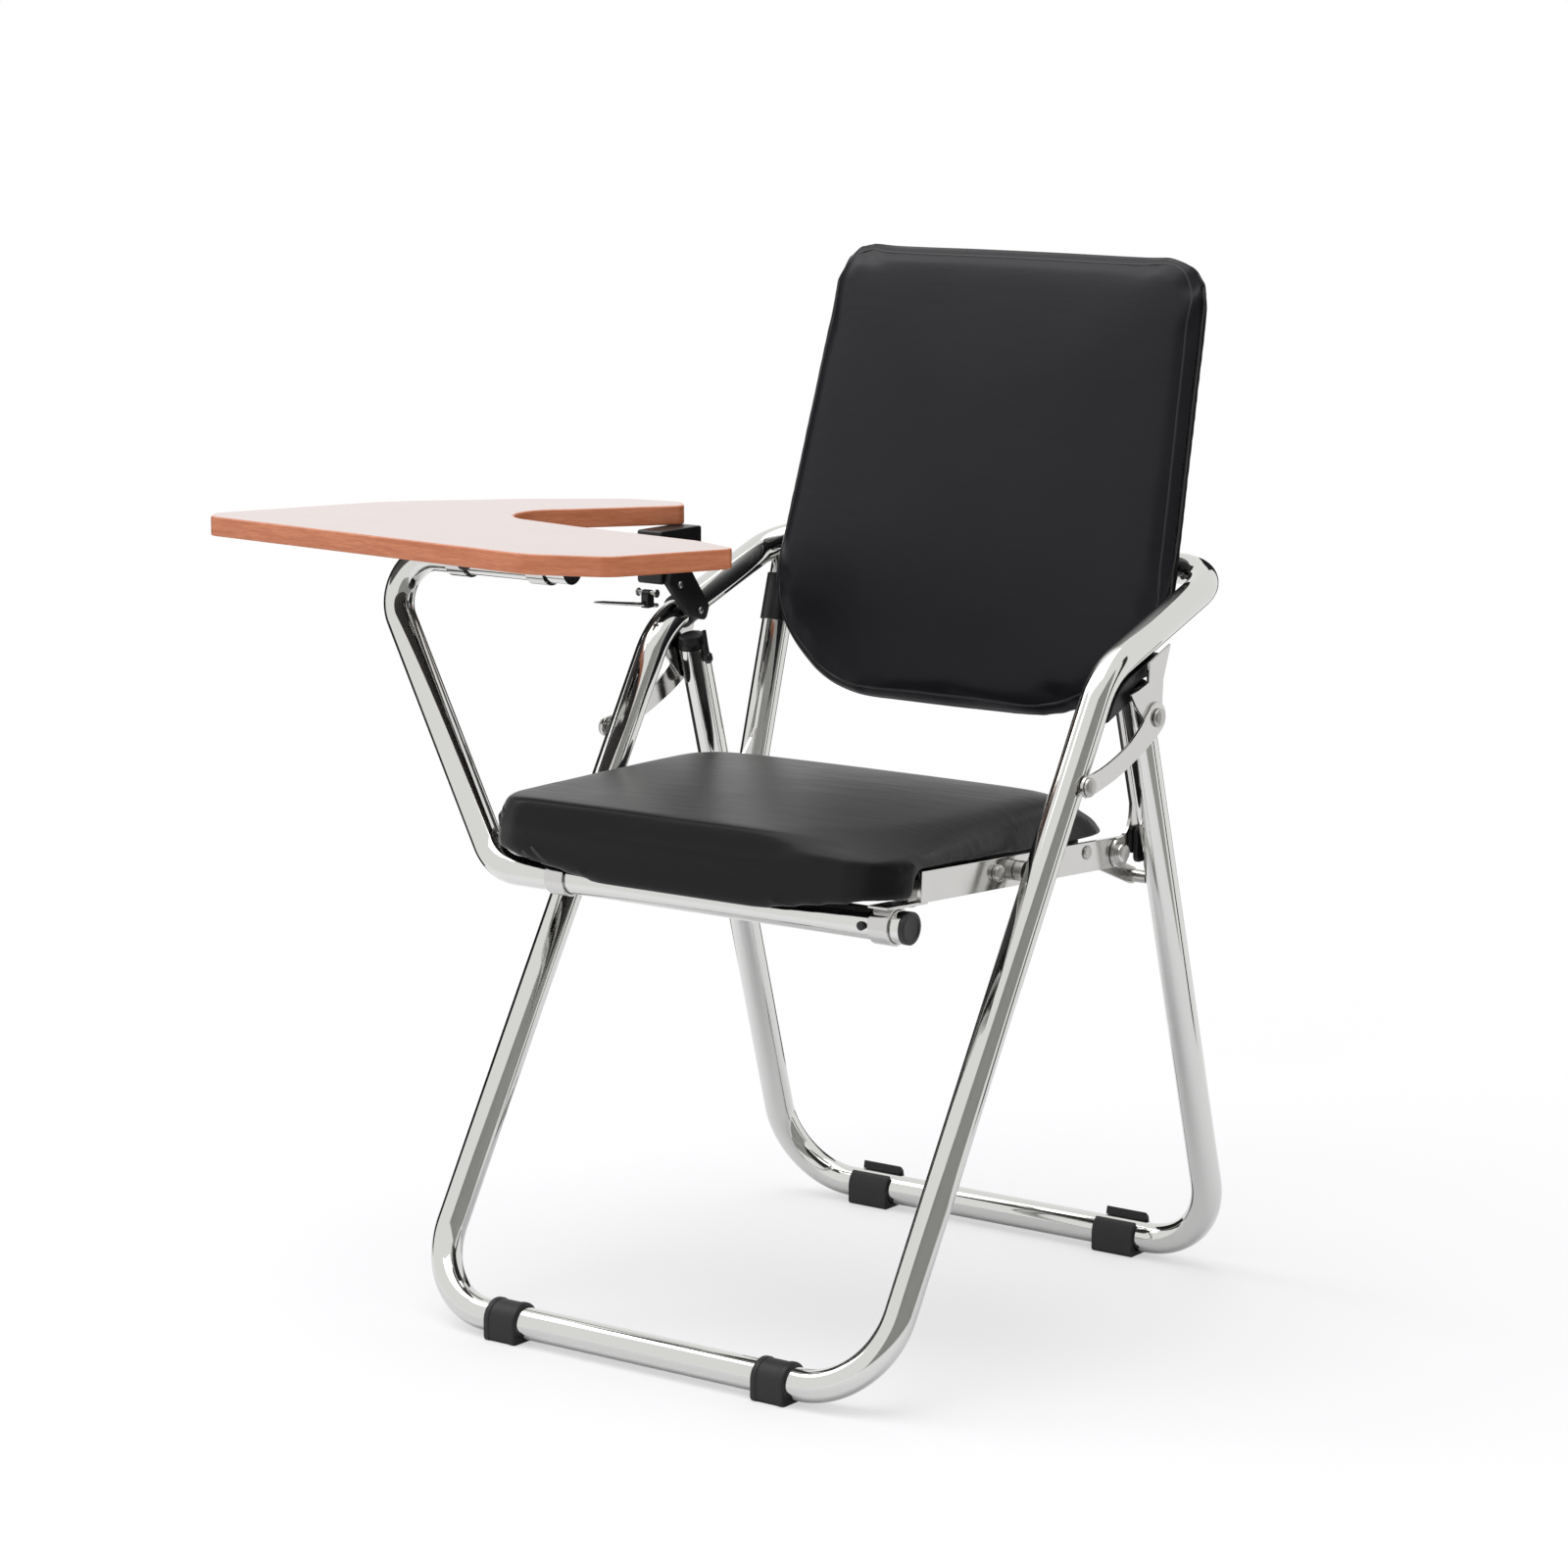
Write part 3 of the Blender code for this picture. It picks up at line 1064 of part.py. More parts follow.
cut(knob, lathe("guide_rod", rod_cut, (-LEG_X, y, ROD_Z), ROD_DIR, PLASTIC, LATCH, 12))
rod = [(0, -0.0130), (0.0019, -0.0130), (0.0019, 0.030), (0.0016, 0.060), (0.0008, 0.0720), (0, 0.0725)]
lathe("latch_rod", rod, (-LEG_X, y, ROD_Z), ROD_DIR, STEEL, LATCH, 12)
pull_at = (-LEG_X + 0.0165, CLAMP_Y, CLAMP_Z - 0.0205)
pull = [(0, 0), (0.0018, 0), (0.0018, 0.0200), (0.0038, 0.0215)]
pull += [(0.0042, 0.0260), (0.0026, 0.0290), (0, 0.0296)]
lathe("release_pull", pull, pull_at, (0, 0.24, -1), PLASTIC, FRONT, 12)

# The whole chair is set down with its box centred on the origin
bpy.context.view_layer.update()
graph = bpy.context.evaluated_depsgraph_get()
spots = []
for obj in bpy.context.scene.objects:
    if obj.type == "MESH" and not obj.hide_render:
        shape = obj.evaluated_get(graph)
        co = np.empty(len(shape.data.vertices) * 3, np.float32)
        shape.data.vertices.foreach_get("co", co)
        spots.append(co.reshape(-1, 3) + np.array(obj.matrix_world.translation, np.float32))
spots = np.vstack(spots)
middle = (spots.min(0) + spots.max(0)) / 2
root.location = (-float(middle[0]), -float(middle[1]), 0)
print("chair centre", [round(float(v) * 1000, 3) for v in middle[:2]])
for name, empty in BODIES.items():
    print(name, [round(v * 1000, 3) for v in (empty.location + root.location)])
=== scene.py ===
# %% [markdown]
# # Folding chair with a writing tablet
# The solids of the chair come in as a fixed frame: every tube, plate and pivot is already at its real
# size and place. This file dresses that frame. Round pieces are drawn again with a fine section, thin
# plates get eased edges, the cushions are swollen by a cloth simulation and then shaped, and each
# surface gets a finish that starts from what the real one is made of.

# %% Load the frame
import json

import bmesh
import bpy
import numpy as np
from mathutils import Matrix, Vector
from mathutils.bvhtree import BVHTree

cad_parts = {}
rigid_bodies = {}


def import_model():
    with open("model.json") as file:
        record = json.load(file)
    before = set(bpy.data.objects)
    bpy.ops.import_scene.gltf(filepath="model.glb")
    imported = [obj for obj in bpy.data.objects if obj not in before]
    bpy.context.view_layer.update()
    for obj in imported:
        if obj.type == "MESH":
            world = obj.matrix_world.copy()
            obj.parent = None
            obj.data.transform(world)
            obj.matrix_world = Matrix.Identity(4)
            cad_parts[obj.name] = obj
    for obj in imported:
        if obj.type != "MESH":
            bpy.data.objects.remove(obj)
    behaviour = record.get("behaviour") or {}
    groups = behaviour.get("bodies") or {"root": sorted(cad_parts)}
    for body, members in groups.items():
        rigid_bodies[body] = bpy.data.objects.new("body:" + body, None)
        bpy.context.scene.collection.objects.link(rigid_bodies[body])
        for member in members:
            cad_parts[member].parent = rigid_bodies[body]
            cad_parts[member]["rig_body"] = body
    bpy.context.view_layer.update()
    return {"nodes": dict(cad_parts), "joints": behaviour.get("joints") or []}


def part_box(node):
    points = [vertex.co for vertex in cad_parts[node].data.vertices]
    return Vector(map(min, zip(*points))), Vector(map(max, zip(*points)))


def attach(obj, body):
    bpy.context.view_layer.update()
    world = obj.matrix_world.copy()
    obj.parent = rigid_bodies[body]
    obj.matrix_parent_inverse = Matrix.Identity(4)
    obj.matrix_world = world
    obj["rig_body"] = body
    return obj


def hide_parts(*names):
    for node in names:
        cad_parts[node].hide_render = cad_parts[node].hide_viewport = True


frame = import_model()
NODES = frame["nodes"]
JOINTS = {joint["name"]: joint for joint in frame["joints"]}

# %% [markdown]
# ## The chair's own sizes
# A few sizes of the tube frame are needed to draw it again: where its corners are and how far its legs
# lean. They are given in metres from the middle plane of the chair, with +X to the sitter's left, -Y
# the way the sitter faces and Z up from the floor. The pivot of the rear legs says how far that
# drawing is moved in the stored part.

# %% Sizes of the frame
TUBE_R = 0.0127
SOLE = 0.003
RAIL_Z = SOLE + TUBE_R
LEG_X = 0.2175
FRONT_Y = -0.248
FRONT_LEAN = 0.6084
REAR_Y = 0.2505
REAR_LEAN = 0.2944
ARM_Z = 0.523
LEG_PIVOT_Z = 0.484
RECLINE = 0.2857
BACK_LEAN = np.arctan(RECLINE)
ARM_Y = FRONT_Y + FRONT_LEAN * (ARM_Z - RAIL_Z)
REAR_PIVOT_Y = REAR_Y - REAR_LEAN * (LEG_PIVOT_Z - RAIL_Z)
LEG_JOINT = JOINTS["rear_leg_fold"]["pos_m"]
OFFSET = np.array([LEG_JOINT[0], LEG_JOINT[1] - REAR_PIVOT_Y, 0])


def stored(points):
    """Points of the chair's drawing, moved to where the stored part has them."""
    return np.asarray(points, float) + OFFSET


print("drawing moved by", np.round(OFFSET, 6))

# %% [markdown]
# ## Camera
# The photograph was taken from a little above the seat, to the sitter's front left, with a long lens.
# The angles and distance were solved from the legs and feet, and the camera is built from its three axes.

# %% Camera


def linked(name, data):
    """A new object that holds this data, put in the scene."""
    obj = bpy.data.objects.new(name, data)
    bpy.context.scene.collection.objects.link(obj)
    return obj


CAMERA_AZIMUTH = np.radians(35.89)
CAMERA_HEIGHT = np.radians(10.24)
CAMERA_ROLL = np.radians(0.14)
CAMERA_REACH = 3.6615
CAMERA_TARGET = stored([-0.04501, 0.0, 0.41709])
backward = np.array([
    np.sin(CAMERA_AZIMUTH) * np.cos(CAMERA_HEIGHT),
    -np.cos(CAMERA_AZIMUTH) * np.cos(CAMERA_HEIGHT),
    np.sin(CAMERA_HEIGHT),
])
level = np.cross(-backward, [0, 0, 1])
level = level / np.linalg.norm(level)
upright = np.cross(level, -backward)
right = np.cos(CAMERA_ROLL) * level + np.sin(CAMERA_ROLL) * upright
above = -np.sin(CAMERA_ROLL) * level + np.cos(CAMERA_ROLL) * upright
camera = linked("camera", bpy.data.cameras.new("camera"))
pose = np.eye(4)
pose[:3, 0], pose[:3, 1], pose[:3, 2] = right, above, backward
pose[:3, 3] = CAMERA_TARGET + CAMERA_REACH * backward
camera.matrix_world = Matrix(pose.tolist())
camera.data.lens = 104.56
camera.data.sensor_width = 36
camera.data.clip_end = 100
bpy.context.scene.camera = camera
bpy.context.scene.view_settings.view_transform = "Standard"
print("camera at", np.round(pose[:3, 3], 3))

# %% [markdown]
# ## Helpers for finishes
# One function turns a written sRGB colour to the linear numbers that the shader works with. Another adds a
# node with its settings and links, so that each finish below reads as a short recipe.

# %% Finish helpers
MM = 0.001


def linear(colour):
    """sRGB hex to linear: v/12.92 in the darks and ((v + 0.055)/1.055)^2.4 above them."""
    value = np.array([int(colour[k:k + 2], 16) for k in (1, 3, 5)]) / 255
    return (*np.where(value <= 0.04045, value / 12.92, ((value + 0.055) / 1.055) ** 2.4), 1.0)


def add(tree, kind, sockets, **settings):
    """Adds a node; sockets maps an input to a value or to another node's output."""
    made = tree.nodes.new(kind)
    for key, value in settings.items():
        setattr(made, key, value)
    for key, value in sockets.items():
        if isinstance(value, bpy.types.NodeSocket):
            tree.links.new(value, made.inputs[key])
        else:
            made.inputs[key].default_value = value
    return made


def finish(name, **sockets):
    """A material with its Principled shader set: gives it, its tree, the shader and Object coordinates."""
    material = bpy.data.materials.new(name)
    material.use_nodes = True
    tree = material.node_tree
    shader = tree.nodes["Principled BSDF"]
    for key, value in sockets.items():
        shader.inputs[key.replace("_", " ")].default_value = value
    return material, tree, shader, add(tree, "ShaderNodeTexCoord", {}).outputs["Object"]


def waves(size_mm):
    """Noise scale for patches of about this size: one over the size in metres."""
    return 1 / (size_mm * MM)


# %% [markdown]
# ## Finishes of the metal
# The tubes are steel with bright chrome plate: almost a mirror, so the eye reads it from what it reflects.
# Polishing leaves a very faint waviness, and handling leaves patches that are slightly less sharp.
# The small bars and links are zinc plated, which is greyer and softer.

# %% Metal finishes


def chrome_finish(name, colour, dull, bright, wave_mm, wave_height):
    """Plated metal: roughness varies between two values in patches, and a low bump bends the reflections."""
    made, tree, shader, place = finish(name, Metallic=1.0, Base_Color=linear(colour))
    patch = add(tree, "ShaderNodeTexNoise", {"Vector": place, "Scale": waves(35), "Detail": 4.0})
    rough = add(tree, "ShaderNodeMapRange", {"Value": patch.outputs["Fac"], "From Min": 0.35, "From Max": 0.7,
                                             "To Min": bright, "To Max": dull})
    tree.links.new(rough.outputs["Result"], shader.inputs["Roughness"])
    wave = add(tree, "ShaderNodeTexNoise", {"Vector": place, "Scale": waves(wave_mm), "Detail": 2.0})
    bump = add(tree, "ShaderNodeBump", {"Height": wave.outputs["Fac"], "Strength": 0.25,
                                        "Distance": wave_height})
    tree.links.new(bump.outputs["Normal"], shader.inputs["Normal"])
    return made


CHROME = chrome_finish("bright chrome plate on steel tube", "#D4D4D1", 0.09, 0.04, 60, 0.25 * MM)
PLATE_CHROME = chrome_finish("chrome plate on stamped steel", "#CBCAC8", 0.20, 0.09, 18, 0.12 * MM)
ZINC = chrome_finish("zinc plate on turned steel", "#B4B3B0", 0.38, 0.22, 8, 0.08 * MM)
print([metal.name for metal in (CHROME, PLATE_CHROME, ZINC)])

# %% [markdown]
# ## Finishes of rubber and plastic
# The feet are moulded rubber, dull and a little dusty. The plugs, the clamp and the tablet rest are
# moulded plastic with a fine pebbled skin. The pebble is drawn at about a millimetre, coarser than the
# real one, because it would not show otherwise.

# %% Rubber and plastic


def moulded_finish(name, dark, light, rough, pebble_mm, height):
    """Moulded polymer: two close tones in soft patches and a pebbled skin."""
    made, tree, shader, place = finish(name, Roughness=rough, IOR=1.5)
    patch = add(tree, "ShaderNodeTexNoise", {"Vector": place, "Scale": waves(12), "Detail": 5.0})
    tone = add(tree, "ShaderNodeMix", {"Factor": patch.outputs["Fac"], "A": linear(dark), "B": linear(light)},
               data_type="RGBA")
    tree.links.new(tone.outputs["Result"], shader.inputs["Base Color"])
    pebble = add(tree, "ShaderNodeTexVoronoi", {"Vector": place, "Scale": waves(pebble_mm)})
    bump = add(tree, "ShaderNodeBump", {"Height": pebble.outputs["Distance"], "Strength": 0.3,
                                        "Distance": height})
    tree.links.new(bump.outputs["Normal"], shader.inputs["Normal"])
    return made


RUBBER = moulded_finish("moulded black rubber", "#0D0D0E", "#171718", 0.55, 1.6, 0.10 * MM)
PLASTIC = moulded_finish("moulded black nylon", "#0C0C0E", "#151517", 0.40, 1.1, 0.06 * MM)
SHELL = moulded_finish("vacuum formed black back shell", "#161618", "#1F1F22", 0.46, 1.4, 0.10 * MM)
print([polymer.name for polymer in (RUBBER, PLASTIC, SHELL)])

# %% [markdown]
# ## Finish of the cover
# The cushions are covered in charcoal artificial leather: a plastic coat on cloth with an embossed grain.
# It reflects the room softly, so its top looks grey when seen at a low angle. The embossed cells are about a
# millimetre across, and stretching over foam leaves long shallow creases across the seat.

# %% Cover finishes


def cover_finish(name, dark, light, sharp, dull, shine, sheen, crease_height):
    """Artificial leather: embossed cells, broad tonal patches and long creases across the sitter."""
    made, tree, shader, place = finish(name, IOR=1.48, Specular_IOR_Level=shine, Sheen_Weight=sheen,
                                       Sheen_Roughness=0.5)
    patch = add(tree, "ShaderNodeTexNoise", {"Vector": place, "Scale": waves(70), "Detail": 6.0})
    tone = add(tree, "ShaderNodeMix", {"Factor": patch.outputs["Fac"], "A": linear(dark), "B": linear(light)},
               data_type="RGBA")
    tree.links.new(tone.outputs["Result"], shader.inputs["Base Color"])
    rough = add(tree, "ShaderNodeMapRange", {"Value": patch.outputs["Fac"], "To Min": sharp, "To Max": dull})
    tree.links.new(rough.outputs["Result"], shader.inputs["Roughness"])
    cells = add(tree, "ShaderNodeTexVoronoi", {"Vector": place, "Scale": waves(1.5)}, feature="SMOOTH_F1")
    emboss = add(tree, "ShaderNodeBump", {"Height": cells.outputs["Distance"], "Strength": 0.22,
                                          "Distance": 0.10 * MM})
    along = add(tree, "ShaderNodeMapping", {"Vector": place, "Scale": (1.0, 5.0, 5.0)})
    crease = add(tree, "ShaderNodeTexNoise", {"Vector": along.outputs["Vector"], "Scale": waves(60),
                                              "Detail": 3.0, "Distortion": 0.6})
    folds = add(tree, "ShaderNodeBump", {"Height": crease.outputs["Fac"], "Strength": 0.5,
                                         "Distance": crease_height, "Normal": emboss.outputs["Normal"]})
    tree.links.new(folds.outputs["Normal"], shader.inputs["Normal"])
    return made


SEAT_COVER = cover_finish("charcoal artificial leather, seat", "#080608", "#0C0A0C",
                          0.30, 0.40, 0.14, 0.16, 0.9 * MM)
BACK_COVER = cover_finish("charcoal artificial leather, back", "#0F0F14", "#15151B",
                          0.34, 0.46, 0.24, 0.0, 0.4 * MM)
# The back's boxed sides use a darker copy of the back's leather: painted shade, as those sides turn away from
# the light.
SHADED_SIDE_COVER = cover_finish("charcoal artificial leather, boxed sides in painted shade", "#08080A", "#0C0C0E",
                          0.50, 0.62, 0.10, 0.0, 0.3 * MM)
PIPING = moulded_finish("rolled artificial leather piping", "#0C0B0D", "#131214", 0.45, 1.2, 0.06 * MM)
print([cover.name for cover in (SEAT_COVER, BACK_COVER, SHADED_SIDE_COVER, PIPING)])

# %% [markdown]
# ## Finishes of the tablet
# The writing board is chipboard under a cherry laminate, with a cherry edge band. Straight grain runs along
# the board. Seen at a low angle the satin laminate mirrors the bright room, which washes out its colour. Its
# base colour keeps the grain but is painted paler and greyer than the cherry band: painted reflection of that
# glare.

# %% Wood finishes


def grain_finish(name, pale, deep, stretch, band_mm, rough, coat):
    """Printed wood: noise stretched along the grain chooses between two tones, with finer pores on top."""
    made, tree, shader, place = finish(name, Roughness=rough, IOR=1.5, Coat_Weight=coat, Coat_Roughness=0.12)
    along = add(tree, "ShaderNodeMapping", {"Vector": place, "Scale": stretch})
    figure = add(tree, "ShaderNodeTexNoise", {"Vector": along.outputs["Vector"], "Scale": waves(band_mm),
                                              "Detail": 6.0, "Distortion": 0.4})
    pores = add(tree, "ShaderNodeTexNoise", {"Vector": along.outputs["Vector"], "Scale": waves(band_mm / 5),
                                             "Detail": 3.0})
    both = add(tree, "ShaderNodeMath", {0: figure.outputs["Fac"], 1: pores.outputs["Fac"]},
               operation="MULTIPLY")
    share = add(tree, "ShaderNodeMapRange", {"Value": both.outputs["Value"], "From Min": 0.15,
                                             "From Max": 0.38})
    tone = add(tree, "ShaderNodeMix", {"Factor": share.outputs["Result"], "A": linear(deep),
                                       "B": linear(pale)}, data_type="RGBA")
    tree.links.new(tone.outputs["Result"], shader.inputs["Base Color"])
    bump = add(tree, "ShaderNodeBump", {"Height": pores.outputs["Fac"], "Strength": 0.15,
                                        "Distance": 0.05 * MM})
    tree.links.new(bump.outputs["Normal"], shader.inputs["Normal"])
    return made


ALONG_BOARD = (0.06, 1.0, 1.0)
# The laminate's tones carry real grain, but are painted paler than the cherry band as a painted reflection of
# the bright room.
GLARE_PALED_LAMINATE = grain_finish("satin cherry laminate paled by painted reflection", "#B9A098", "#AE938B", ALONG_BOARD, 9, 0.16, 0.4)
CHERRY = grain_finish("cherry edge band", "#D08058", "#B8683F", (0.12, 0.12, 1.6), 6, 0.34, 0.2)
# The seat board's near-black colour is painted shade, for the dark gap under the seat cushion.
SHADE_DARKENED_PLY = grain_finish("birch plywood darkened as painted shade", "#1D1A17", "#121010", (0.15, 1.0, 4.0), 8, 0.6, 0.0)
BACKING = grain_finish("dark backing sheet under the board", "#2A2320", "#1D1917", ALONG_BOARD, 9, 0.5, 0.0)
print("finishes", len(bpy.data.materials))

# %% [markdown]
# ## Helpers for shapes
# Every new shape is a grid of points worked out with numpy: rows follow a path or an outline, columns go
# round a section. Corners of paths are replaced by arcs, as a tube bender or a router would make them.

# %% Paths and grids


def unit(rows):
    """Each row divided by its own length."""
    return rows / np.linalg.norm(rows, axis=-1, keepdims=True)


def bent(corners, radii, turn=np.radians(3)):
    """Straight runs whose corners are arcs: centre + foot*cos t - a*radius*sin t over the bend's angle."""
    corners = np.asarray(corners, float)
    out = []
    for k, radius in enumerate(radii):
        p = corners[k]
        if radius == 0:
            out.append(p[None])
            continue
        a = unit(corners[k - 1] - p)
        b = unit(corners[(k + 1) % len(corners)] - p)
        bend = np.pi - np.arccos(np.clip(a @ b, -1, 1))
        centre = p + unit(a + b) * radius / np.cos(bend / 2)
        foot = p + a * radius * np.tan(bend / 2) - centre
        t = np.linspace(0, bend, max(3, int(np.ceil(bend / turn)) + 1))[:, None]
        out.append(centre + foot * np.cos(t) - a * radius * np.sin(t))
    return np.concatenate(out)


def quads(rows, columns, wrap_rows, wrap_columns):
    """The four-sided faces of a grid of points, joined across an edge where it wraps."""
    across = np.arange(columns - (not wrap_columns))
    i, j = np.meshgrid(np.arange(rows - (not wrap_rows)), across, indexing="ij")
    k, m = (i + 1) % rows, (j + 1) % columns
    corners = [i * columns + j, i * columns + m, k * columns + m, k * columns + j]
    return np.stack(corners, -1).reshape(-1, 4)


# %% Meshes
DOUBLED = 1e-6
SHARP = np.radians(35)


def shown(name, points, faces, material):
    """An object from points and faces: welded, facing outwards and smooth up to the sharp angle."""
    mesh = bpy.data.meshes.new(name)
    mesh.from_pydata(np.asarray(points).reshape(-1, 3).tolist(), [], [list(map(int, f)) for f in faces])
    shape = bmesh.new()
    shape.from_mesh(mesh)
    bmesh.ops.remove_doubles(shape, verts=shape.verts, dist=DOUBLED)
    bmesh.ops.recalc_face_normals(shape, faces=shape.faces)
    shape.to_mesh(mesh)
    shape.free()
    mesh.shade_smooth()
    mesh.set_sharp_from_angle(angle=SHARP)
    mesh.materials.append(material)
    return linked(name, mesh)


def grid(name, points, material, wrap_rows=False, wrap_columns=True):
    """A grid of points, rows by columns by 3, as an object."""
    rows, columns = points.shape[:2]
    return shown(name, points, quads(rows, columns, wrap_rows, wrap_columns), material)


def places(mesh):
    """The mesh's points as one array."""
    flat = np.empty(len(mesh.vertices) * 3)
    mesh.vertices.foreach_get("co", flat)
    return flat.reshape(-1, 3)


# %% [markdown]
# A section carried along a path makes a tube or a band. A profile turned about an axis makes a rivet or a
# plug. Chrome shows every facet, so a round has 48 sides.

# %% Carried and turned shapes
ROUND = 48


def carried(path, section, side, closed):
    """A flat section carried along a path: path + s*across + t*upward, with across kept towards side."""
    ahead = unit(np.roll(path, -1, 0) - path + 1e-12)
    behind = np.roll(ahead, 1, 0)
    if not closed:
        ahead[-1] = ahead[-2]
        behind[0] = ahead[0]
    along = unit(ahead + behind)
    across = unit(side - along * (along @ side)[:, None])
    upward = np.cross(along, across)
    return path[:, None] + section[None, :, :1] * across[:, None] + section[None, :, 1:] * upward[:, None]


def ring(radius, sides=ROUND):
    """A circle as section points: radius*(cos a, sin a)."""
    a = np.linspace(0, 2 * np.pi, sides, endpoint=False)
    return radius * np.stack([np.cos(a), np.sin(a)], 1)


def tube(name, path, radius, side, material, closed=False):
    """A round section carried along a path, its open ends closed at their middles."""
    points = carried(path, ring(radius), np.asarray(side, float), closed)
    if not closed:
        ends = [np.repeat(path[k][None], ROUND, 0)[None] for k in (0, -1)]
        points = np.concatenate([ends[0], points, ends[1]])
    return grid(name, points, material, wrap_rows=closed)


def lathe(name, profile, centre, axis, material, sides=ROUND):
    """A profile of (radius, distance) pairs turned about an axis: centre + h*axis + r*(cos a, sin a)."""
    axis = unit(np.asarray(axis, float))
    u = unit(np.cross(axis, [0.31, 0.2, 0.9] if abs(axis[2]) < 0.9 else [1.0, 0, 0]))
    v = np.cross(axis, u)
    profile = np.asarray(profile, float)
    turn = ring(1, sides)
    radial = turn[:, :1] * u + turn[:, 1:] * v
    points = np.asarray(centre) + profile[:, 1, None, None] * axis + profile[:, 0, None, None] * radial[None]
    return grid(name, points, material)


# %% [markdown]
# Each drawn piece stands for one solid of the frame or more, which are then hidden. It moves with their body.

# %% Standing for a solid


def stand_for(obj, *nodes):
    """The piece takes the place of these nodes: it moves with their body, and the nodes are hidden."""
    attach(obj, NODES[nodes[0]]["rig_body"])
    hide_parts(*nodes)
    return obj


# %% [markdown]
# ## Tubes
# The front frame is one closed loop of 25.4 mm tube: floor rail, legs, arms and the bow behind the back. The
# rear frame is a U, a third tube carries the tablet, and a short upright stands between bow and seat. Each is
# drawn again with a fine section along the same path as the solid.

# %% Front loop
front_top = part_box("front_frame")[1]
BOW_Y = front_top.y - TUBE_R - OFFSET[1]
BOW_Z = front_top.z - TUBE_R
FLOOR_BEND = 0.066
ARM_BEND = 0.070
BOW_BEND = 0.040
loop = [(LEG_X, FRONT_Y, RAIL_Z), (LEG_X, ARM_Y, ARM_Z), (LEG_X, BOW_Y, BOW_Z)]
loop += [(-x, y, z) for x, y, z in reversed(loop)]
front_path = stored(bent(loop, [FLOOR_BEND, ARM_BEND, BOW_BEND, BOW_BEND, ARM_BEND, FLOOR_BEND]))
stand_for(tube("front_loop", front_path, TUBE_R, (0, -0.8, 0.6), CHROME, True), "front_frame")
print("front loop", len(front_path), "rings, bow at", round(BOW_Y, 4), round(BOW_Z, 4))

# %% Rear U
REAR_TOP_Z = LEG_PIVOT_Z + 0.017


def rear_y(z):
    """The rear leg's Y at a height: it leans forward as it rises."""
    return REAR_Y - REAR_LEAN * (z - RAIL_Z)


rear = [(LEG_X, rear_y(REAR_TOP_Z), REAR_TOP_Z), (LEG_X, REAR_Y, RAIL_Z)]
rear += [(-x, y, z) for x, y, z in reversed(rear)]
rear_path = stored(bent(rear, [0, FLOOR_BEND, FLOOR_BEND, 0]))
stand_for(tube("rear_u", rear_path, TUBE_R, (0, 1, REAR_LEAN), CHROME), "rear_frame")
print("rear frame", len(rear_path), "rings")

# %% Tablet tube
TABLET_Z = 0.621
TABLET_T = 0.016
SADDLE = np.array(JOINTS["tablet_flip"]["pos_m"]) - OFFSET
RUN_Y = SADDLE[1] + 0.070
RUN_Z = TABLET_Z - TABLET_T - 0.0003 - TUBE_R
TUBE_END_X = LEG_X - TUBE_R - 0.0085
LOW_BEND_X = -0.198
HIGH_BEND_X = -0.383
END_DISC = 0.004
RUN_END_X = -0.180 + END_DISC
LOW_BEND = 0.045
HIGH_BEND = 0.034
arm = [(TUBE_END_X, *SADDLE[1:]), (LOW_BEND_X, *SADDLE[1:]), (HIGH_BEND_X, RUN_Y, RUN_Z)]
arm.append((RUN_END_X, RUN_Y, RUN_Z))
arm_path = stored(bent(arm, [0, LOW_BEND, HIGH_BEND, 0]))
arm_flat = np.cross([1, 0, 0], [0, RUN_Y - SADDLE[1], RUN_Z - SADDLE[2]])
stand_for(tube("tablet_carrier", arm_path, TUBE_R, arm_flat, CHROME), "tablet_tube", "run_cap")
print("tablet tube", len(arm_path), "rings")

# %% Upright on the tablet side
UPRIGHT_X = -0.203
UPRIGHT_SET = 0.034
UPRIGHT_LOW_Z = 0.395
UPRIGHT_TOP_Z = BOW_Z - 0.004
BACK_Y = 0.198
BACK_Z = 0.600


def upright_at(z):
    """A point of the upright's axis, which leans with the backrest."""
    return stored([UPRIGHT_X, BACK_Y + RECLINE * (z - BACK_Z) + UPRIGHT_SET, z])


UP = np.array([0, np.sin(BACK_LEAN), np.cos(BACK_LEAN)])
ends = np.stack([upright_at(z) for z in (UPRIGHT_LOW_Z, UPRIGHT_TOP_Z)])
stand_for(tube("back_upright", ends, TUBE_R, (1, 0, 0), CHROME), "upright")
print("upright from", np.round(ends[0], 3), "to", np.round(ends[1], 3))

# %% [markdown]
# ## Turned pieces
# Rivets, plugs, sleeves and caps are all round, so each is a short profile turned about its own axis. Their
# edges are small arcs, because a sharp edge catches no light and looks like a drawing.

# %% Rivets and plugs


def domed(radius, start, height, rim):
    """A button head: a rim of straight side, then a quarter ellipse to the middle."""
    ease = 0.0003
    t = np.linspace(0, np.pi / 2, 12)
    dome = np.stack([radius * np.cos(t), start + rim + (height - rim) * np.sin(t)], 1)
    return [(0, start), (radius - ease, start), (radius, start + ease), *dome]


def eased(points, radius):
    """A profile whose inner corners are arcs of this radius."""
    flat = [(r, h, 0) for r, h in points]
    radii = [0] + [radius] * (len(flat) - 2) + [0]
    return bent(flat, radii, turn=np.radians(15))[:, :2]


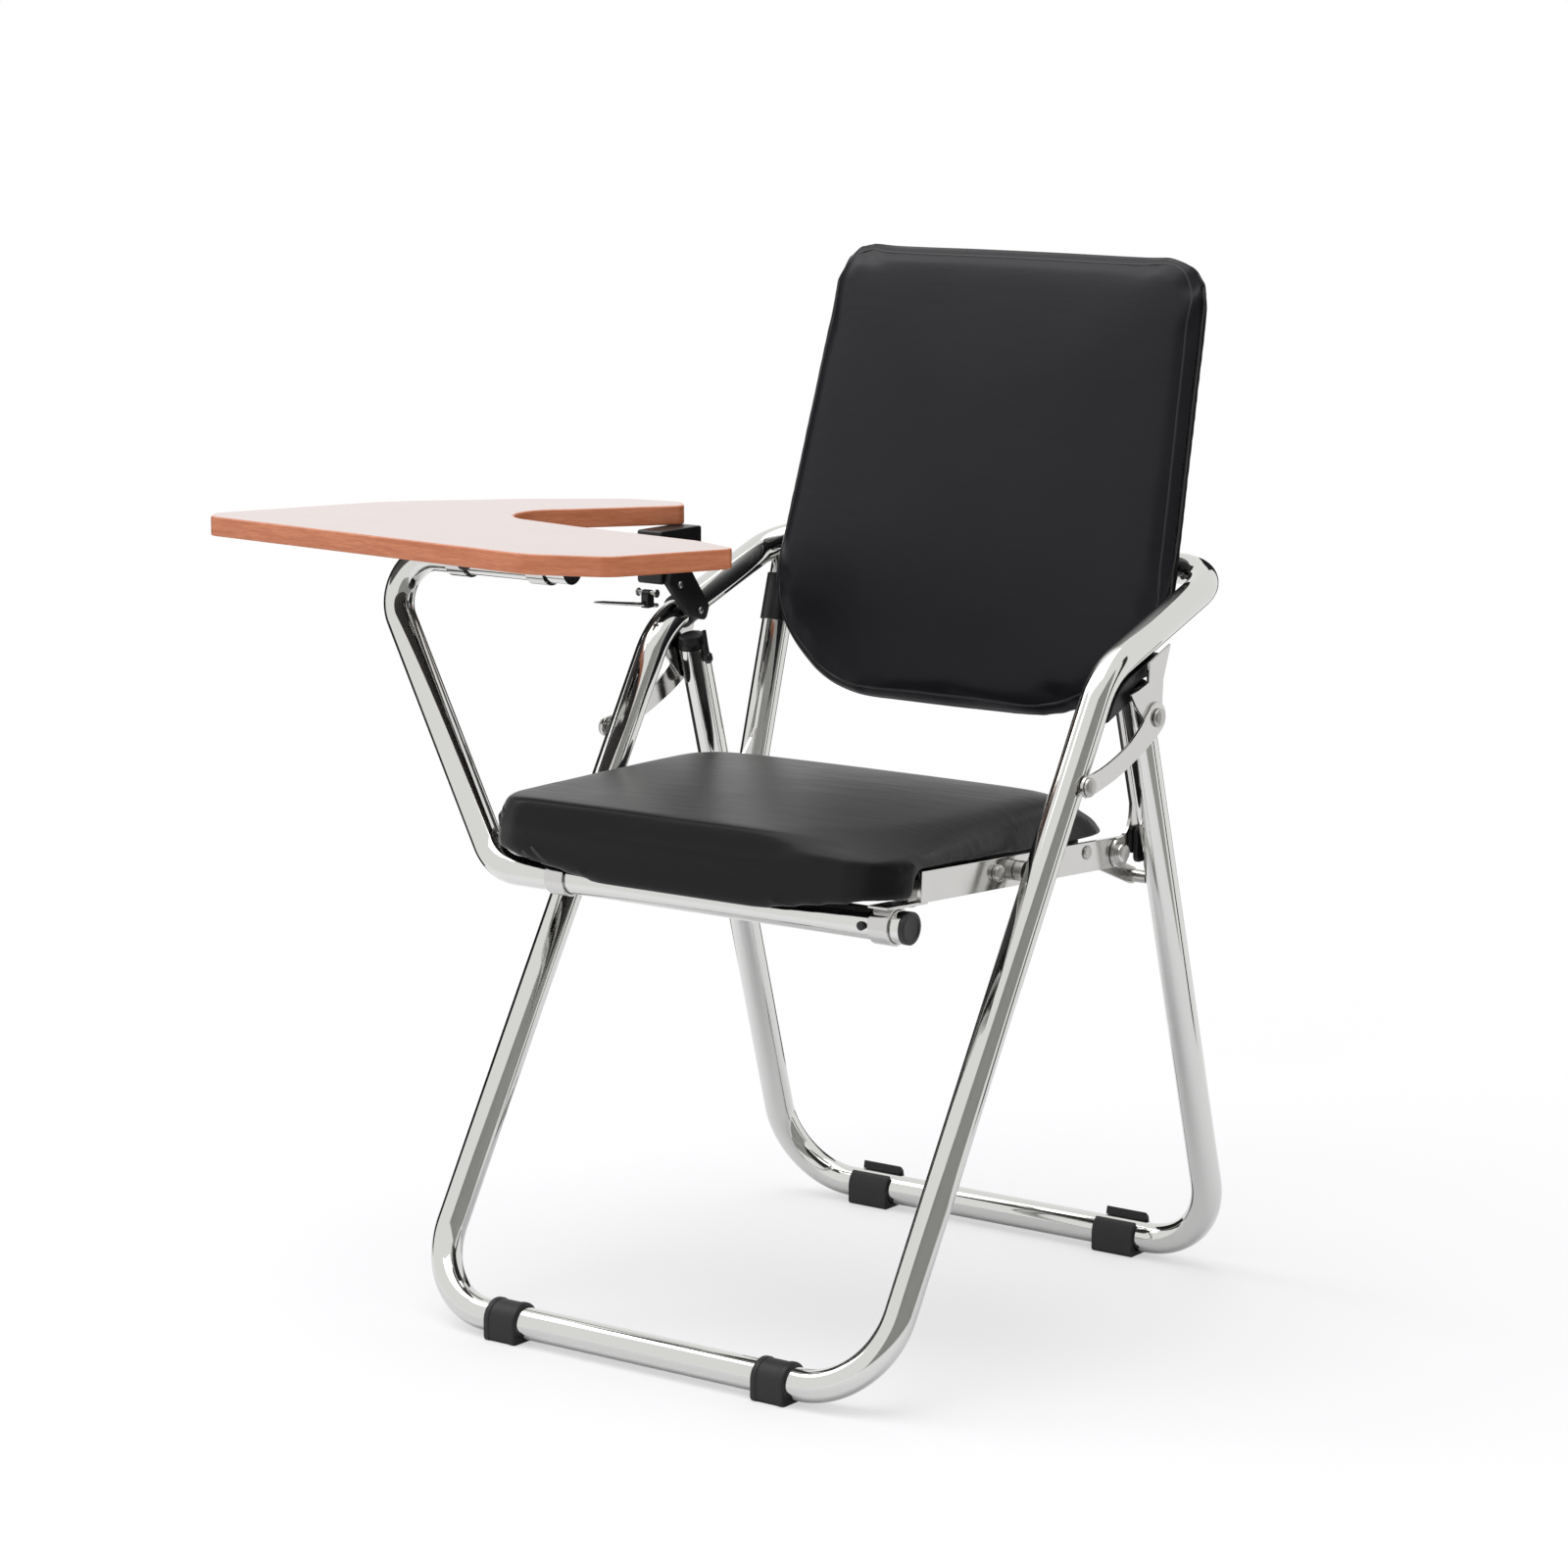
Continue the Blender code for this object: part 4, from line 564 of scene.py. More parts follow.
SIDES = {"left": 1, "right": -1}
LEG_OUT = LEG_X + TUBE_R
PLATE_T = 0.0025
GAP = 0.0003
HEAD_AT = 2 * PLATE_T + 3 * GAP
SHANK_R = 0.0042
RIVET = [(0, GAP), (SHANK_R, GAP), (SHANK_R, HEAD_AT), *domed(0.0075, HEAD_AT, 0.0040, 0.0012)]
LEG_PLUG = eased([(0, GAP), (TUBE_R, GAP), (TUBE_R, 0.0045), (0.0105, 0.0100), (0, 0.0110)], 0.0012)
BRACE_Z = 0.443
PINS = {
    "leg_rivet_": (REAR_PIVOT_Y, LEG_PIVOT_Z),
    "brace_rivet_": (FRONT_Y + FRONT_LEAN * (BRACE_Z - RAIL_Z), BRACE_Z),
}
for tag, side in SIDES.items():
    for label, (y, z) in PINS.items():
        head = lathe(label + "head_" + tag, RIVET, stored([side * LEG_OUT, y, z]), (side, 0, 0), ZINC)
        stand_for(head, label + tag)
    top = stored([side * LEG_X, rear_y(REAR_TOP_Z), REAR_TOP_Z])
    stand_for(lathe("leg_plug_" + tag, LEG_PLUG, top, (0, -REAR_LEAN, 1), PLASTIC), "rear_plug_" + tag)
print("rivets", len(SIDES) * len(PINS), "and plugs", len(SIDES))

# %% Sleeve, foot and cap
SLEEVE_R = TUBE_R + 0.0016
SLEEVE_LONG = 0.040
SLEEVE_LOW_Z = BOW_Z - 0.0275 - 0.045
sleeve = eased([(TUBE_R, 0), (SLEEVE_R, 0), (SLEEVE_R, SLEEVE_LONG), (TUBE_R, SLEEVE_LONG)], 0.0006)
stand_for(lathe("black_sleeve", sleeve, upright_at(SLEEVE_LOW_Z), UP, PLASTIC), "upright_sleeve")
foot = eased([(0, GAP), (TUBE_R, GAP), (TUBE_R, 0.0035), (0.0095, 0.0080), (0, 0.0092)], 0.0012)
stand_for(lathe("upright_foot", foot, upright_at(UPRIGHT_LOW_Z), -UP, PLASTIC), "upright_plug")
cap = [(0, GAP), (TUBE_R, GAP), (TUBE_R, 0.0040), (0.0098, 0.0044), (0.0090, 0.0036), (0, 0.0036)]
stand_for(lathe("saddle_tube_cap", eased(cap, 0.0005), stored(arm[0]), (1, 0, 0), PLASTIC), "tube_cap")
print("sleeve", SLEEVE_LONG, "long, with the upright's foot and the tube's cap")

# %% [markdown]
# ## Rubber feet
# Each front foot is a closed sleeve pushed on the rail before it was bent, with a flat sole. It is an outline
# of arch and sole carried along the rail, drawn in at both ends to round its edges.

# %% Front feet
FOOT_R = TUBE_R + 0.0032
FOOT_HALF = 0.0155
FOOT_X = LEG_X - FLOOR_BEND - 0.0215
FOOT_EDGE = 0.0022
FOOT_END = 0.0030
COLLAR = [0.0052, 0.0060]
COLLAR_STEP = 0.0007
SOLE_CORNER = 0.003


def foot_points(x):
    """Rows along the rail: the outline of arch and sole, shrunk towards the tube near both ends."""
    sole = [(-FOOT_R, 0, 0), (-FOOT_R, -RAIL_Z, 0), (FOOT_R, -RAIL_Z, 0), (FOOT_R, 0, 0)]
    t = np.linspace(0, np.pi, 25)[1:-1]
    arch = np.stack([FOOT_R * np.cos(t), FOOT_R * np.sin(t)], 1)
    outline = np.concatenate([bent(sole, [0, SOLE_CORNER, SOLE_CORNER, 0])[:, :2], arch])
    a = np.linspace(0, np.pi / 2, 7)
    along = np.concatenate([[0], FOOT_EDGE * (1 - np.cos(a)), COLLAR, [FOOT_HALF]])
    drawn = np.concatenate([[FOOT_END], FOOT_EDGE * (1 - np.sin(a)), [0, COLLAR_STEP, COLLAR_STEP]])
    along = np.concatenate([along - FOOT_HALF, FOOT_HALF - along[::-1]])
    drawn = np.concatenate([drawn, drawn[::-1]])
    keep = 1 - drawn / FOOT_R
    flat = keep[:, None, None] * outline[None]
    flat[:, :, 1] = np.maximum(flat[:, :, 1], -RAIL_Z)
    points = np.empty((len(along), len(outline), 3))
    points[:, :, 0] = x + along[:, None]
    points[:, :, 1:] = flat + [FRONT_Y, RAIL_Z]
    points[:, :, 2] = np.where(outline[None, :, 1] < -0.99 * RAIL_Z, 0, points[:, :, 2])
    ends = [np.broadcast_to([x + k * FOOT_HALF, FRONT_Y, RAIL_Z], points[:1].shape) for k in (-1, 1)]
    return stored(np.concatenate([ends[0], points, ends[1]]))


for tag, side in SIDES.items():
    stand_for(grid("sleeve_foot_" + tag, foot_points(side * FOOT_X), RUBBER), "front_foot_" + tag)
print("front feet", len(SIDES), "each", 2 * FOOT_HALF, "long")

# %% [markdown]
# ## Plates, bars and small fittings
# The stamped plates and moulded fittings already have the right outline, so each is copied from its solid,
# welded, and given a small bevel: that rounded edge is what makes stamped metal and moulded plastic look
# real.

# %% Eased copies
WELD = 2e-6
EASED_ANGLE = np.radians(32)


def copied(name, node, material, flatten):
    """A copy of a solid as a new object: doubled points merged and, if asked, flat faces joined."""
    mesh = NODES[node].data.copy()
    mesh.materials.clear()
    mesh.materials.append(material)
    shape = bmesh.new()
    shape.from_mesh(mesh)
    bmesh.ops.remove_doubles(shape, verts=shape.verts, dist=WELD)
    if flatten:
        bmesh.ops.dissolve_limit(shape, angle_limit=np.radians(1), verts=shape.verts, edges=shape.edges)
    shape.to_mesh(mesh)
    shape.free()
    return linked(name, mesh)


def eased_copy(name, node, bevel, material):
    """A flattened copy that stands for its solid, with its sharp edges bevelled."""
    obj = copied(name, node, material, True)
    obj.data.shade_smooth()
    obj.data.set_sharp_from_angle(angle=EASED_ANGLE)
    soften = obj.modifiers.new("eased edges", "BEVEL")
    soften.width = bevel
    soften.segments = 3
    soften.limit_method = "ANGLE"
    soften.angle_limit = EASED_ANGLE
    soften.harden_normals = True
    return stand_for(obj, node)


COPIES = {
    ("gusset", "brace", "seat_rail", "tablet_saddle"): (0.5 * MM, PLATE_CHROME),
    ("bow_saddle", "seat_pivot", "rail_block", "link_pin", "fold_link"): (0.4 * MM, ZINC),
}
for kinds, (bevel, material) in COPIES.items():
    for kind in kinds:
        for tag in SIDES:
            eased_copy("eased_" + kind + "_" + tag, kind + "_" + tag, bevel, material)
SINGLES = {
    "seat_ear": (0.5 * MM, PLATE_CHROME),
    "hanger_pad": (0.8 * MM, PLASTIC),
    "corner_block": (1.0 * MM, PLASTIC),
    "seat_crossbar": (0.6 * MM, ZINC),
    # the seat board's near-black colour is painted shade under the cushion
    "seat_board": (0.8 * MM, SHADE_DARKENED_PLY),
    "back_board": (1.2 * MM, SHELL),
    "board_strap_inner": (0.4 * MM, PLATE_CHROME),
    "board_strap_outer": (0.4 * MM, PLATE_CHROME),
    "stop_screw": (0.3 * MM, PLASTIC),
    "board_bumper": (0.6 * MM, RUBBER),
    "latch_pin": (0.3 * MM, ZINC),
    "latch_rod": (0.2 * MM, PLATE_CHROME),
    "release_pull": (0.5 * MM, PLASTIC),
}
for node, (bevel, material) in SINGLES.items():
    eased_copy("eased_" + node, node, bevel, material)
print("eased copies", 2 * sum(len(k) for k in COPIES) + len(SINGLES))

# %% [markdown]
# Three kinds of copy are changed a little. The rear wing of each rear foot stands up behind the tube. The
# hanger ends level behind the arm, where it is welded. The latch block is slimmer than its solid.

# %% Changed copies
WING_UP = 0.005
WING_ZONE = 0.006
HANGER_CUT = 0.0115
LATCH_SCALE = [0.62, 0.8, 0.74]
for tag in SIDES:
    foot = eased_copy("eased_rear_foot_" + tag, "rear_foot_" + tag, 1.4 * MM, RUBBER)
    spots = places(foot.data)
    behind_tube = spots[:, 1] > OFFSET[1] + REAR_Y + 0.6 * TUBE_R
    wing = behind_tube & (spots[:, 2] > spots[:, 2].max() - WING_ZONE)
    spots[wing, 2] += WING_UP
    foot.data.vertices.foreach_set("co", spots.ravel())
hanger = eased_copy("eased_seat_hanger", "seat_hanger", 0.5 * MM, PLATE_CHROME)
cut_at = (0, 0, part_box("seat_hanger")[1].z - HANGER_CUT)
shape = bmesh.new()
shape.from_mesh(hanger.data)
whole = [*shape.verts, *shape.edges, *shape.faces]
cut = bmesh.ops.bisect_plane(shape, geom=whole, plane_co=cut_at, plane_no=(0, 0, 1), clear_outer=True)
bmesh.ops.holes_fill(shape, edges=[e for e in cut["geom_cut"] if isinstance(e, bmesh.types.BMEdge)])
shape.to_mesh(hanger.data)
shape.free()
latch = eased_copy("eased_latch_block", "latch_block", 0.5 * MM, PLASTIC)
spots = places(latch.data)
middle = (spots.min(0) + spots.max(0)) / 2
latch.data.vertices.foreach_set("co", (middle + (spots - middle) * LATCH_SCALE).ravel())
print("wings raised by", int(wing.sum()), "points, hanger faces", len(hanger.data.polygons))

# %% [markdown]
# ## Arm bracket
# The board's finger lies on a block, and a slanting strap joins the block to a band on the arm. Block and
# strap are plates: an outline in the side view, with rounded corners, given a thickness across the chair.

# %% Plate helper


def plate(name, corners, radii, x_low, x_high, ease, material):
    """A side outline with arcs at its corners, between two X values, its rim drawn in at each face."""
    flat = bent([(y, z, 0) for y, z in corners], radii, turn=np.radians(9))[:, :2]
    centre = flat.mean(0)
    t = np.linspace(0, np.pi / 2, 5)
    inset = ease * (1 - np.sin(t))
    depth = ease * (1 - np.cos(t))
    size = np.abs(flat - centre).max(0)
    rows = []
    for across, drawn in [*zip(x_low + depth, inset), *zip(x_high - depth[::-1], inset[::-1])]:
        side = centre + (flat - centre) * (1 - drawn / size)
        rows.append(np.c_[np.full(len(flat), across), side])
    ends = [np.r_[rows[k][:1, 0], centre] * np.ones((len(flat), 1)) for k in (0, -1)]
    return grid(name, stored(np.stack([ends[0], *rows, ends[1]])), material)


# %% Arm bracket
REST_X = (-0.2300, -0.2050)
STRAP_X = (-0.2046, -0.1986)
REST_TOP = TABLET_Z - TABLET_T - 0.0006
REST_LOW = REST_TOP - 0.0444
rest_side = [(0.047, REST_LOW), (0.083, REST_LOW), (0.103, REST_TOP - 0.017), (0.103, REST_TOP),
             (0.047, REST_TOP)]
rest = plate("finger_rest", rest_side, [0.003, 0.004, 0.004, 0.002, 0.002], *REST_X, 1.2 * MM, PLASTIC)
stand_for(rest, "tablet_rest")
strap_side = [(0.0497, 0.5610), (0.0525, 0.5710), (0.0812, 0.5690), (0.1060, 0.5370), (0.1010, 0.5250),
              (0.0780, 0.5310)]
strap_radii = [0.003, 0.002, 0.003, 0.006, 0.005, 0.006]
strap = plate("slanted_strap", strap_side, strap_radii, *STRAP_X, 1.0 * MM, PLASTIC)
ARM_RISE = (BOW_Z - ARM_Z) / (BOW_Y - ARM_Y)
BAND_Y = 0.0940
BAND_R = TUBE_R + 0.0022
BAND_HALF = 0.0080
band_at = stored([-LEG_X, BAND_Y, ARM_Z + ARM_RISE * (BAND_Y - ARM_Y)])
band_profile = [(TUBE_R, -BAND_HALF), (BAND_R, -BAND_HALF), (BAND_R, BAND_HALF), (TUBE_R, BAND_HALF)]
band = lathe("arm_band", eased(band_profile, 0.0008), band_at, unit(np.array([0, 1, ARM_RISE])), PLASTIC)
stand_for(strap, "arm_clamp")
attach(band, NODES["arm_clamp"]["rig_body"])
BOLT = domed(0.0030, -0.0004, 0.0020, 0.0006)
for label, spot in (("upper", (0.0650, 0.5590)), ("lower", (0.0930, 0.5345))):
    bolt = lathe("strap_bolt_" + label, BOLT, stored([STRAP_X[1], *spot]), (1, 0, 0), ZINC, 24)
    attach(bolt, NODES["arm_clamp"]["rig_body"])
print("bracket block", np.round(rest_side[0], 4), "to", np.round(rest_side[3], 4))

# %% [markdown]
# ## Writing board
# The board is a routed kidney shape: a straight front, a notch for the sitter's body and a rear finger over
# the arm. Its outline is a short list of corners with the radius that the router left. The edge band is a
# section with rounded corners carried along that outline, and the laminate fills it.

# %% Writing board


def spaced(path):
    """A closed path without the points that lie within 0.2 mm of the one before."""
    return path[np.linalg.norm(path - np.roll(path, 1, 0), axis=1) > 0.2 * MM]


EDGE_T = 0.002
EDGE_EASE = 0.0016
BOARD_AT = np.array([-LEG_X, REAR_PIVOT_Y - 0.0206])
BOARD_CORNERS = np.array([
    (-0.2625, -0.2910, 0.010), (0.0950, -0.3240, 0.050), (0.1580, -0.2985, 0.030), (0.2045, -0.1990, 0.010),
    (0.1500, -0.1770, 0.020), (0.0150, -0.1620, 0.050), (-0.1180, -0.1370, 0.040), (-0.0560, -0.0730, 0.060),
    (0.0020, 0.0020, 0.010), (-0.0180, 0.0235, 0.014), (-0.0660, 0.0160, 0.060), (-0.1400, -0.0420, 0.150),
    (-0.2180, -0.1250, 0.150), (-0.2765, -0.2700, 0.012),
])
plan = np.zeros((len(BOARD_CORNERS), 3))
plan[:, :2] = BOARD_CORNERS[:, :2] + BOARD_AT
plan[:, 2] = TABLET_Z
outline = spaced(stored(bent(plan, BOARD_CORNERS[:, 2], turn=np.radians(4))))
corner = [(0, 0, 0), (0, -TABLET_T, 0), (-EDGE_T, -TABLET_T, 0), (-EDGE_T, 0, 0)]
section = bent(corner, [EDGE_EASE, EDGE_EASE, 0, 0], turn=np.radians(15))[:, :2]
band = carried(outline, section[:, ::-1], np.array([0, 0, 1.0]), True)
stand_for(grid("edge_band", band, CHERRY, wrap_rows=True), "tablet_edge")
inner = band[:, -1]
count = len(inner)
layers = np.stack([inner, inner - [0, 0, TABLET_T]])
faces = [list(range(count)), list(range(2 * count - 1, count - 1, -1)), *quads(2, count, False, True)]
board = stand_for(shown("laminate_board", layers, faces, GLARE_PALED_LAMINATE), "tablet_board")
board.data.materials.append(BACKING)
board.data.polygons[1].material_index = 1
print("tablet outline", count, "points, underside looks", np.round(board.data.polygons[1].normal, 2))

# %% [markdown]
# ## Cushions
# Seat and back are foam under a sewn cover. The solid gives their size. It is remeshed evenly and blown up a
# little by a cloth simulation with pressure, while the side that lies on its board is held. The swelling is
# capped, so the cushion stays in the space the solid holds. Then formulas give it the form that the cover
# pulls it to, and each point settles towards its neighbours.

# %% Cushion helpers


def baked(obj):
    """The object's mesh as its modifiers leave it now."""
    graph = bpy.context.evaluated_depsgraph_get()
    return bpy.data.meshes.new_from_object(obj.evaluated_get(graph))


def ramp(value, low, high):
    """Smooth step: 0 below low, 1 above high, 3t^2 - 2t^3 between."""
    t = np.clip((value - low) / (high - low), 0, 1)
    return t * t * (3 - 2 * t)


def settled(points, mesh, share, turns):
    """Each point goes half way to the mean of its neighbours, times its share, for so many turns."""
    ends = np.empty(len(mesh.edges) * 2, int)
    mesh.edges.foreach_get("vertices", ends)
    here = np.concatenate([ends[0::2], ends[1::2]])
    there = np.concatenate([ends[1::2], ends[0::2]])
    count = np.bincount(here, minlength=len(points))[:, None]
    for _ in range(turns):
        total = [np.bincount(here, points[there, k], len(points)) for k in range(3)]
        points = points + 0.5 * share[:, None] * (np.stack(total, 1) / count - points)
    return points


# %% Swollen cushion
EVEN_SIZE = 4 * MM
DRAWN_IN = 1.0 * MM
FOAM_PRESSURE = 4
FOAM_FRAMES = 20
FOAM_CAP = 5 * MM


def plumped(name, node, material, held, shaped):
    """Even remesh, shrink along normals, pressure for some frames, a cap on each move, then shaping."""
    obj = copied(name, node, material, False)
    even = obj.modifiers.new("even", "REMESH")
    even.mode = "VOXEL"
    even.voxel_size = EVEN_SIZE
    draw_in = obj.modifiers.new("draw in", "DISPLACE")
    draw_in.mid_level = 0
    draw_in.strength = -DRAWN_IN
    start = baked(obj)
    obj.modifiers.clear()
    obj.data = start
    rest = places(start)
    pinned = obj.vertex_groups.new(name="held")
    pinned.add(np.flatnonzero(held(rest)).tolist(), 1.0, "REPLACE")
    cloth = obj.modifiers.new("foam", "CLOTH").settings
    cloth.use_pressure = True
    cloth.uniform_pressure_force = FOAM_PRESSURE
    cloth.effector_weights.gravity = 0
    cloth.vertex_group_mass = "held"
    for step in range(1, FOAM_FRAMES + 1):
        bpy.context.scene.frame_set(step)
    swollen = places(baked(obj))
    obj.modifiers.clear()
    bpy.context.scene.frame_set(1)
    move = swollen - rest
    far = np.linalg.norm(move, axis=1, keepdims=True)
    rest = rest + move * np.minimum(1, FOAM_CAP / np.maximum(far, 1e-9))
    rest = shaped(settled(rest, start, np.ones(len(rest)), 2), start)
    start.vertices.foreach_set("co", rest.ravel())
    finer = obj.modifiers.new("finer", "SUBSURF")
    finer.levels = finer.render_levels = 1
    obj.data = baked(obj)
    obj.modifiers.clear()
    obj.data.shade_smooth()
    print(name, len(obj.data.vertices), "points")
    return stand_for(obj, node)


# %% [markdown]
# The seat's top is nearly level, while its board tilts. Its front and sides fall in a round shoulder, widest
# at the near front corner, and a small roll runs along the foot there, where the cover is pulled under. The
# near rear corner is drawn out to a low tip.

# %% Seat outline
SEAT_TILT = 0.059
SEAT_PIVOT = np.array(JOINTS["seat_fold"]["pos_m"])
SEAT_FLOOR = SEAT_PIVOT[2] + 0.0125
SEAT_HALF = np.array([0.199, 0.1565])
SEAT_MIDDLE = np.array([0, -0.0485])
SEAT_CORNER = 0.042
TOP_HALF = np.array([0.176, 0.1340])
TOP_MIDDLE = np.array([-0.004, -0.0575])
TOP_CORNER = 0.030
TOP_NEAR_CORNER = 0.110


def over_board(points):
    """Height of points over the tilted seat board."""
    return points[:, 2] - SEAT_FLOOR + SEAT_TILT * (points[:, 1] - SEAT_PIVOT[1])


def under_seat(points):
    """Points on the cushion's flat underside, which rests on the seat board."""
    return over_board(points) < 2 * MM


def inside_seat(plan):
    """How far points are inside the seat's outline, a rectangle with rounded corners."""
    past = np.abs(plan[:, :2] - SEAT_MIDDLE) - SEAT_HALF + SEAT_CORNER
    return SEAT_CORNER - np.hypot(*np.maximum(past, 0).T) - np.minimum(past.max(1), 0)


def past_top(plan):
    """How far points are outside the seat's flat top: small corners, but a wide one at the near front."""
    away = plan[:, :2] - TOP_MIDDLE
    corner = np.where((away[:, 0] > 0) & (away[:, 1] < 0), TOP_NEAR_CORNER, TOP_CORNER)
    past = np.abs(away) - TOP_HALF + corner[:, None]
    return np.maximum(np.hypot(*np.maximum(past, 0).T) + np.minimum(past.max(1), 0) - corner, 0)


print("seat", 2 * SEAT_HALF, "with a flat top of", 2 * TOP_HALF)

# %% Seat shape
TOP_Z = 0.4225
CROWN = 0.0040
RIM = 0.008
SOLID_HIGH = 0.030
SHOULDER = 1.7
NEAR_EASE = 0.6
NEAR_X, NEAR_Y = (0.04, 0.10), (-0.11, -0.03)
TIP_OUT = 0.012
TIP_X, TIP_Y, TIP_HEIGHT = (0.12, 0.19), (0.03, 0.10), (0.006, 0.030)
ROLL_OUT = 0.003
ROLL_AT = 0.008
ROLL_WIDE = 0.005
ROLL_DEPTH = 0.014
ROLL_X, ROLL_Y = (0.09, 0.13), (-0.17, -0.12)
ROLL_WAY = unit(np.array([0.45, -0.9, 0]))


def seat_shape(points, mesh):
    """Top and shoulder as rim + (top - rim)*(1 - t^power), t from flat top to outline; then tip and roll."""
    height = over_board(points)
    plan = points - OFFSET
    depth = inside_seat(plan)
    dome = np.prod(1 - np.clip((plan[:, :2] - SEAT_MIDDLE) / SEAT_HALF, -1, 1) ** 2, axis=1)
    top = TOP_Z + CROWN * dome - (points[:, 2] - height)
    beyond = past_top(plan)
    t = beyond / (beyond + np.maximum(depth, 0.5 * MM))
    low = np.where(height > 0, height * np.minimum(1, top / SOLID_HIGH), height)
    free = ramp(depth, 0.001, 0.009) * ramp(height, 0.004, 0.010)
    near = ramp(plan[:, 0], *NEAR_X) * (1 - ramp(plan[:, 1], *NEAR_Y))
    goal = RIM + (top - RIM) * (1 - t ** (SHOULDER - NEAR_EASE * near))
    lift = low + free * (goal - low) - height
    points = points + lift[:, None] * [0, 0, 1]
    height = over_board(points)
    tip = ramp(plan[:, 0], *TIP_X) * ramp(plan[:, 1], *TIP_Y) * (1 - ramp(height, *TIP_HEIGHT))
    points = points + (TIP_OUT * tip)[:, None] * [0, 1, 0]
    points = settled(points, mesh, ramp(over_board(points), 0.003, 0.008), 14)
    points = settled(points, mesh, ramp(depth, 0.016, 0.030) * ramp(height, 0.006, 0.012), 36)
    roll = np.exp(-((over_board(points) - ROLL_AT) / ROLL_WIDE) ** 2) * ramp(plan[:, 0], *ROLL_X)
    roll = ROLL_OUT * roll * (1 - ramp(plan[:, 1], *ROLL_Y)) * (depth < ROLL_DEPTH)
    return points + roll[:, None] * ROLL_WAY


seat = plumped("seat_cushion", "seat_pad", SEAT_COVER, under_seat, seat_shape)
print("seat top", np.round(places(seat.data)[:, 2].max(), 4))

# %% [markdown]
# The back is a plainer pad on its shell. Its front settles a little at the rim and a lot in the middle, so
# that it shows one smooth crown.

# %% Back
BACK_BASE = np.array([0, 0.1577, 0.459])
BACK_OUT = np.array([0, -np.cos(BACK_LEAN), np.sin(BACK_LEAN)])
BACK_DEEP = 0.0185


def before_rim(points):
    """How far points stand out before the plane of the back cushion's front rim."""
    return (points - stored(BACK_BASE)) @ BACK_OUT


def behind_back(points):
    """Points on the back cushion's flat rear, which rests on the back shell."""
    face = OFFSET[1] + BACK_Y + RECLINE * (points[:, 2] - BACK_Z)
    return points[:, 1] > face + BACK_DEEP


def back_shape(points, mesh):
    """The front of the back eased: a little at its rim, a lot in its middle."""
    points = settled(points, mesh, ramp(before_rim(points), -0.004, 0.004), 10)
    return settled(points, mesh, ramp(before_rim(points), 0.004, 0.010), 110)


back = plumped("back_cushion", "back_pad", BACK_COVER, behind_back, back_shape)
print("back top", np.round(places(back.data)[:, 2].max(), 4))

# %% [markdown]
# ## Seams
# The back's boxed sides are joined by two rolled seams that run right round it. The seat's cover is drawn
# together at its far front corner by a slanting seam with a second line beside it. The remesh would swallow
# such thin lines, so each is a slim cord laid on the finished cushion and sunk a little into it.

# %% Seam helper


def laid(name, cushion, like, path, radius, sink, material, closed=False):
    """A cord on a cushion: each path point goes to the nearest spot of the surface, sunk along its normal."""
    faces = [list(face.vertices) for face in cushion.data.polygons]
    skin = BVHTree.FromPolygons(places(cushion.data).tolist(), faces)
    spots = [skin.find_nearest(point) for point in np.asarray(path).tolist()]
    line = np.array([spot[0] - sink * spot[1] for spot in spots])
    for _ in range(6):
        middle = (np.roll(line, 1, 0) + 2 * line + np.roll(line, -1, 0)) / 4
        line = middle if closed else np.concatenate([line[:1], middle[1:-1], line[-1:]])
    share = np.linspace(0, 1, len(line))
    taper = np.ones(len(line)) if closed else np.clip(6 * np.minimum(share, 1 - share), 0.15, 1)
    round_it = carried(line, ring(1, 10), np.array([0.3, 0.2, 0.9]), closed) - line[:, None]
    obj = grid(name, line[:, None] + radius * taper[:, None, None] * round_it, material, wrap_rows=closed)
    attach(obj, NODES[like]["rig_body"])
    return obj


# %% Outline of the back
BACK_CORNERS = np.array([(0.185, 0.397, 0.043), (0.203, 0.0754, 0.10), (0.1279, 0.0, 0.13)])
half = np.concatenate([BACK_CORNERS, (BACK_CORNERS * [-1, 1, 1])[::-1]])
rim = spaced(bent(np.c_[half[:, :2], np.zeros(6)], half[:, 2], turn=np.radians(4)))
rim = np.r_[rim, rim[:1]]
step = np.r_[0, np.cumsum(np.linalg.norm(np.diff(rim, axis=0), axis=1))]
even = np.linspace(0, step[-1], 400, endpoint=False)
rim = np.stack([np.interp(even, step, rim[:, k]) for k in (0, 1)], 1)
ahead = unit(np.roll(rim, -1, 0) - np.roll(rim, 1, 0))
inwards = np.stack([-ahead[:, 1], ahead[:, 0]], 1)
inwards = inwards * np.sign(((np.array([0, 0.2]) - rim) * inwards).sum(1, keepdims=True))
print("round the back", round(step[-1], 3))

# %% Seams of the back
BAND_IN = 0.0080
SEAM_PLACES = {"front": (BAND_IN, -0.0080), "rear": (0.0, 0.0085)}
for label, (inset, depth) in SEAM_PLACES.items():
    flat = rim + inset * inwards
    path = stored(BACK_BASE + flat[:, :1] * [1, 0, 0] + flat[:, 1:] * UP - depth * BACK_OUT)
    laid("back_seam_" + label, back, "back_pad", path, 1.2 * MM, 0.6 * MM, PIPING, True)
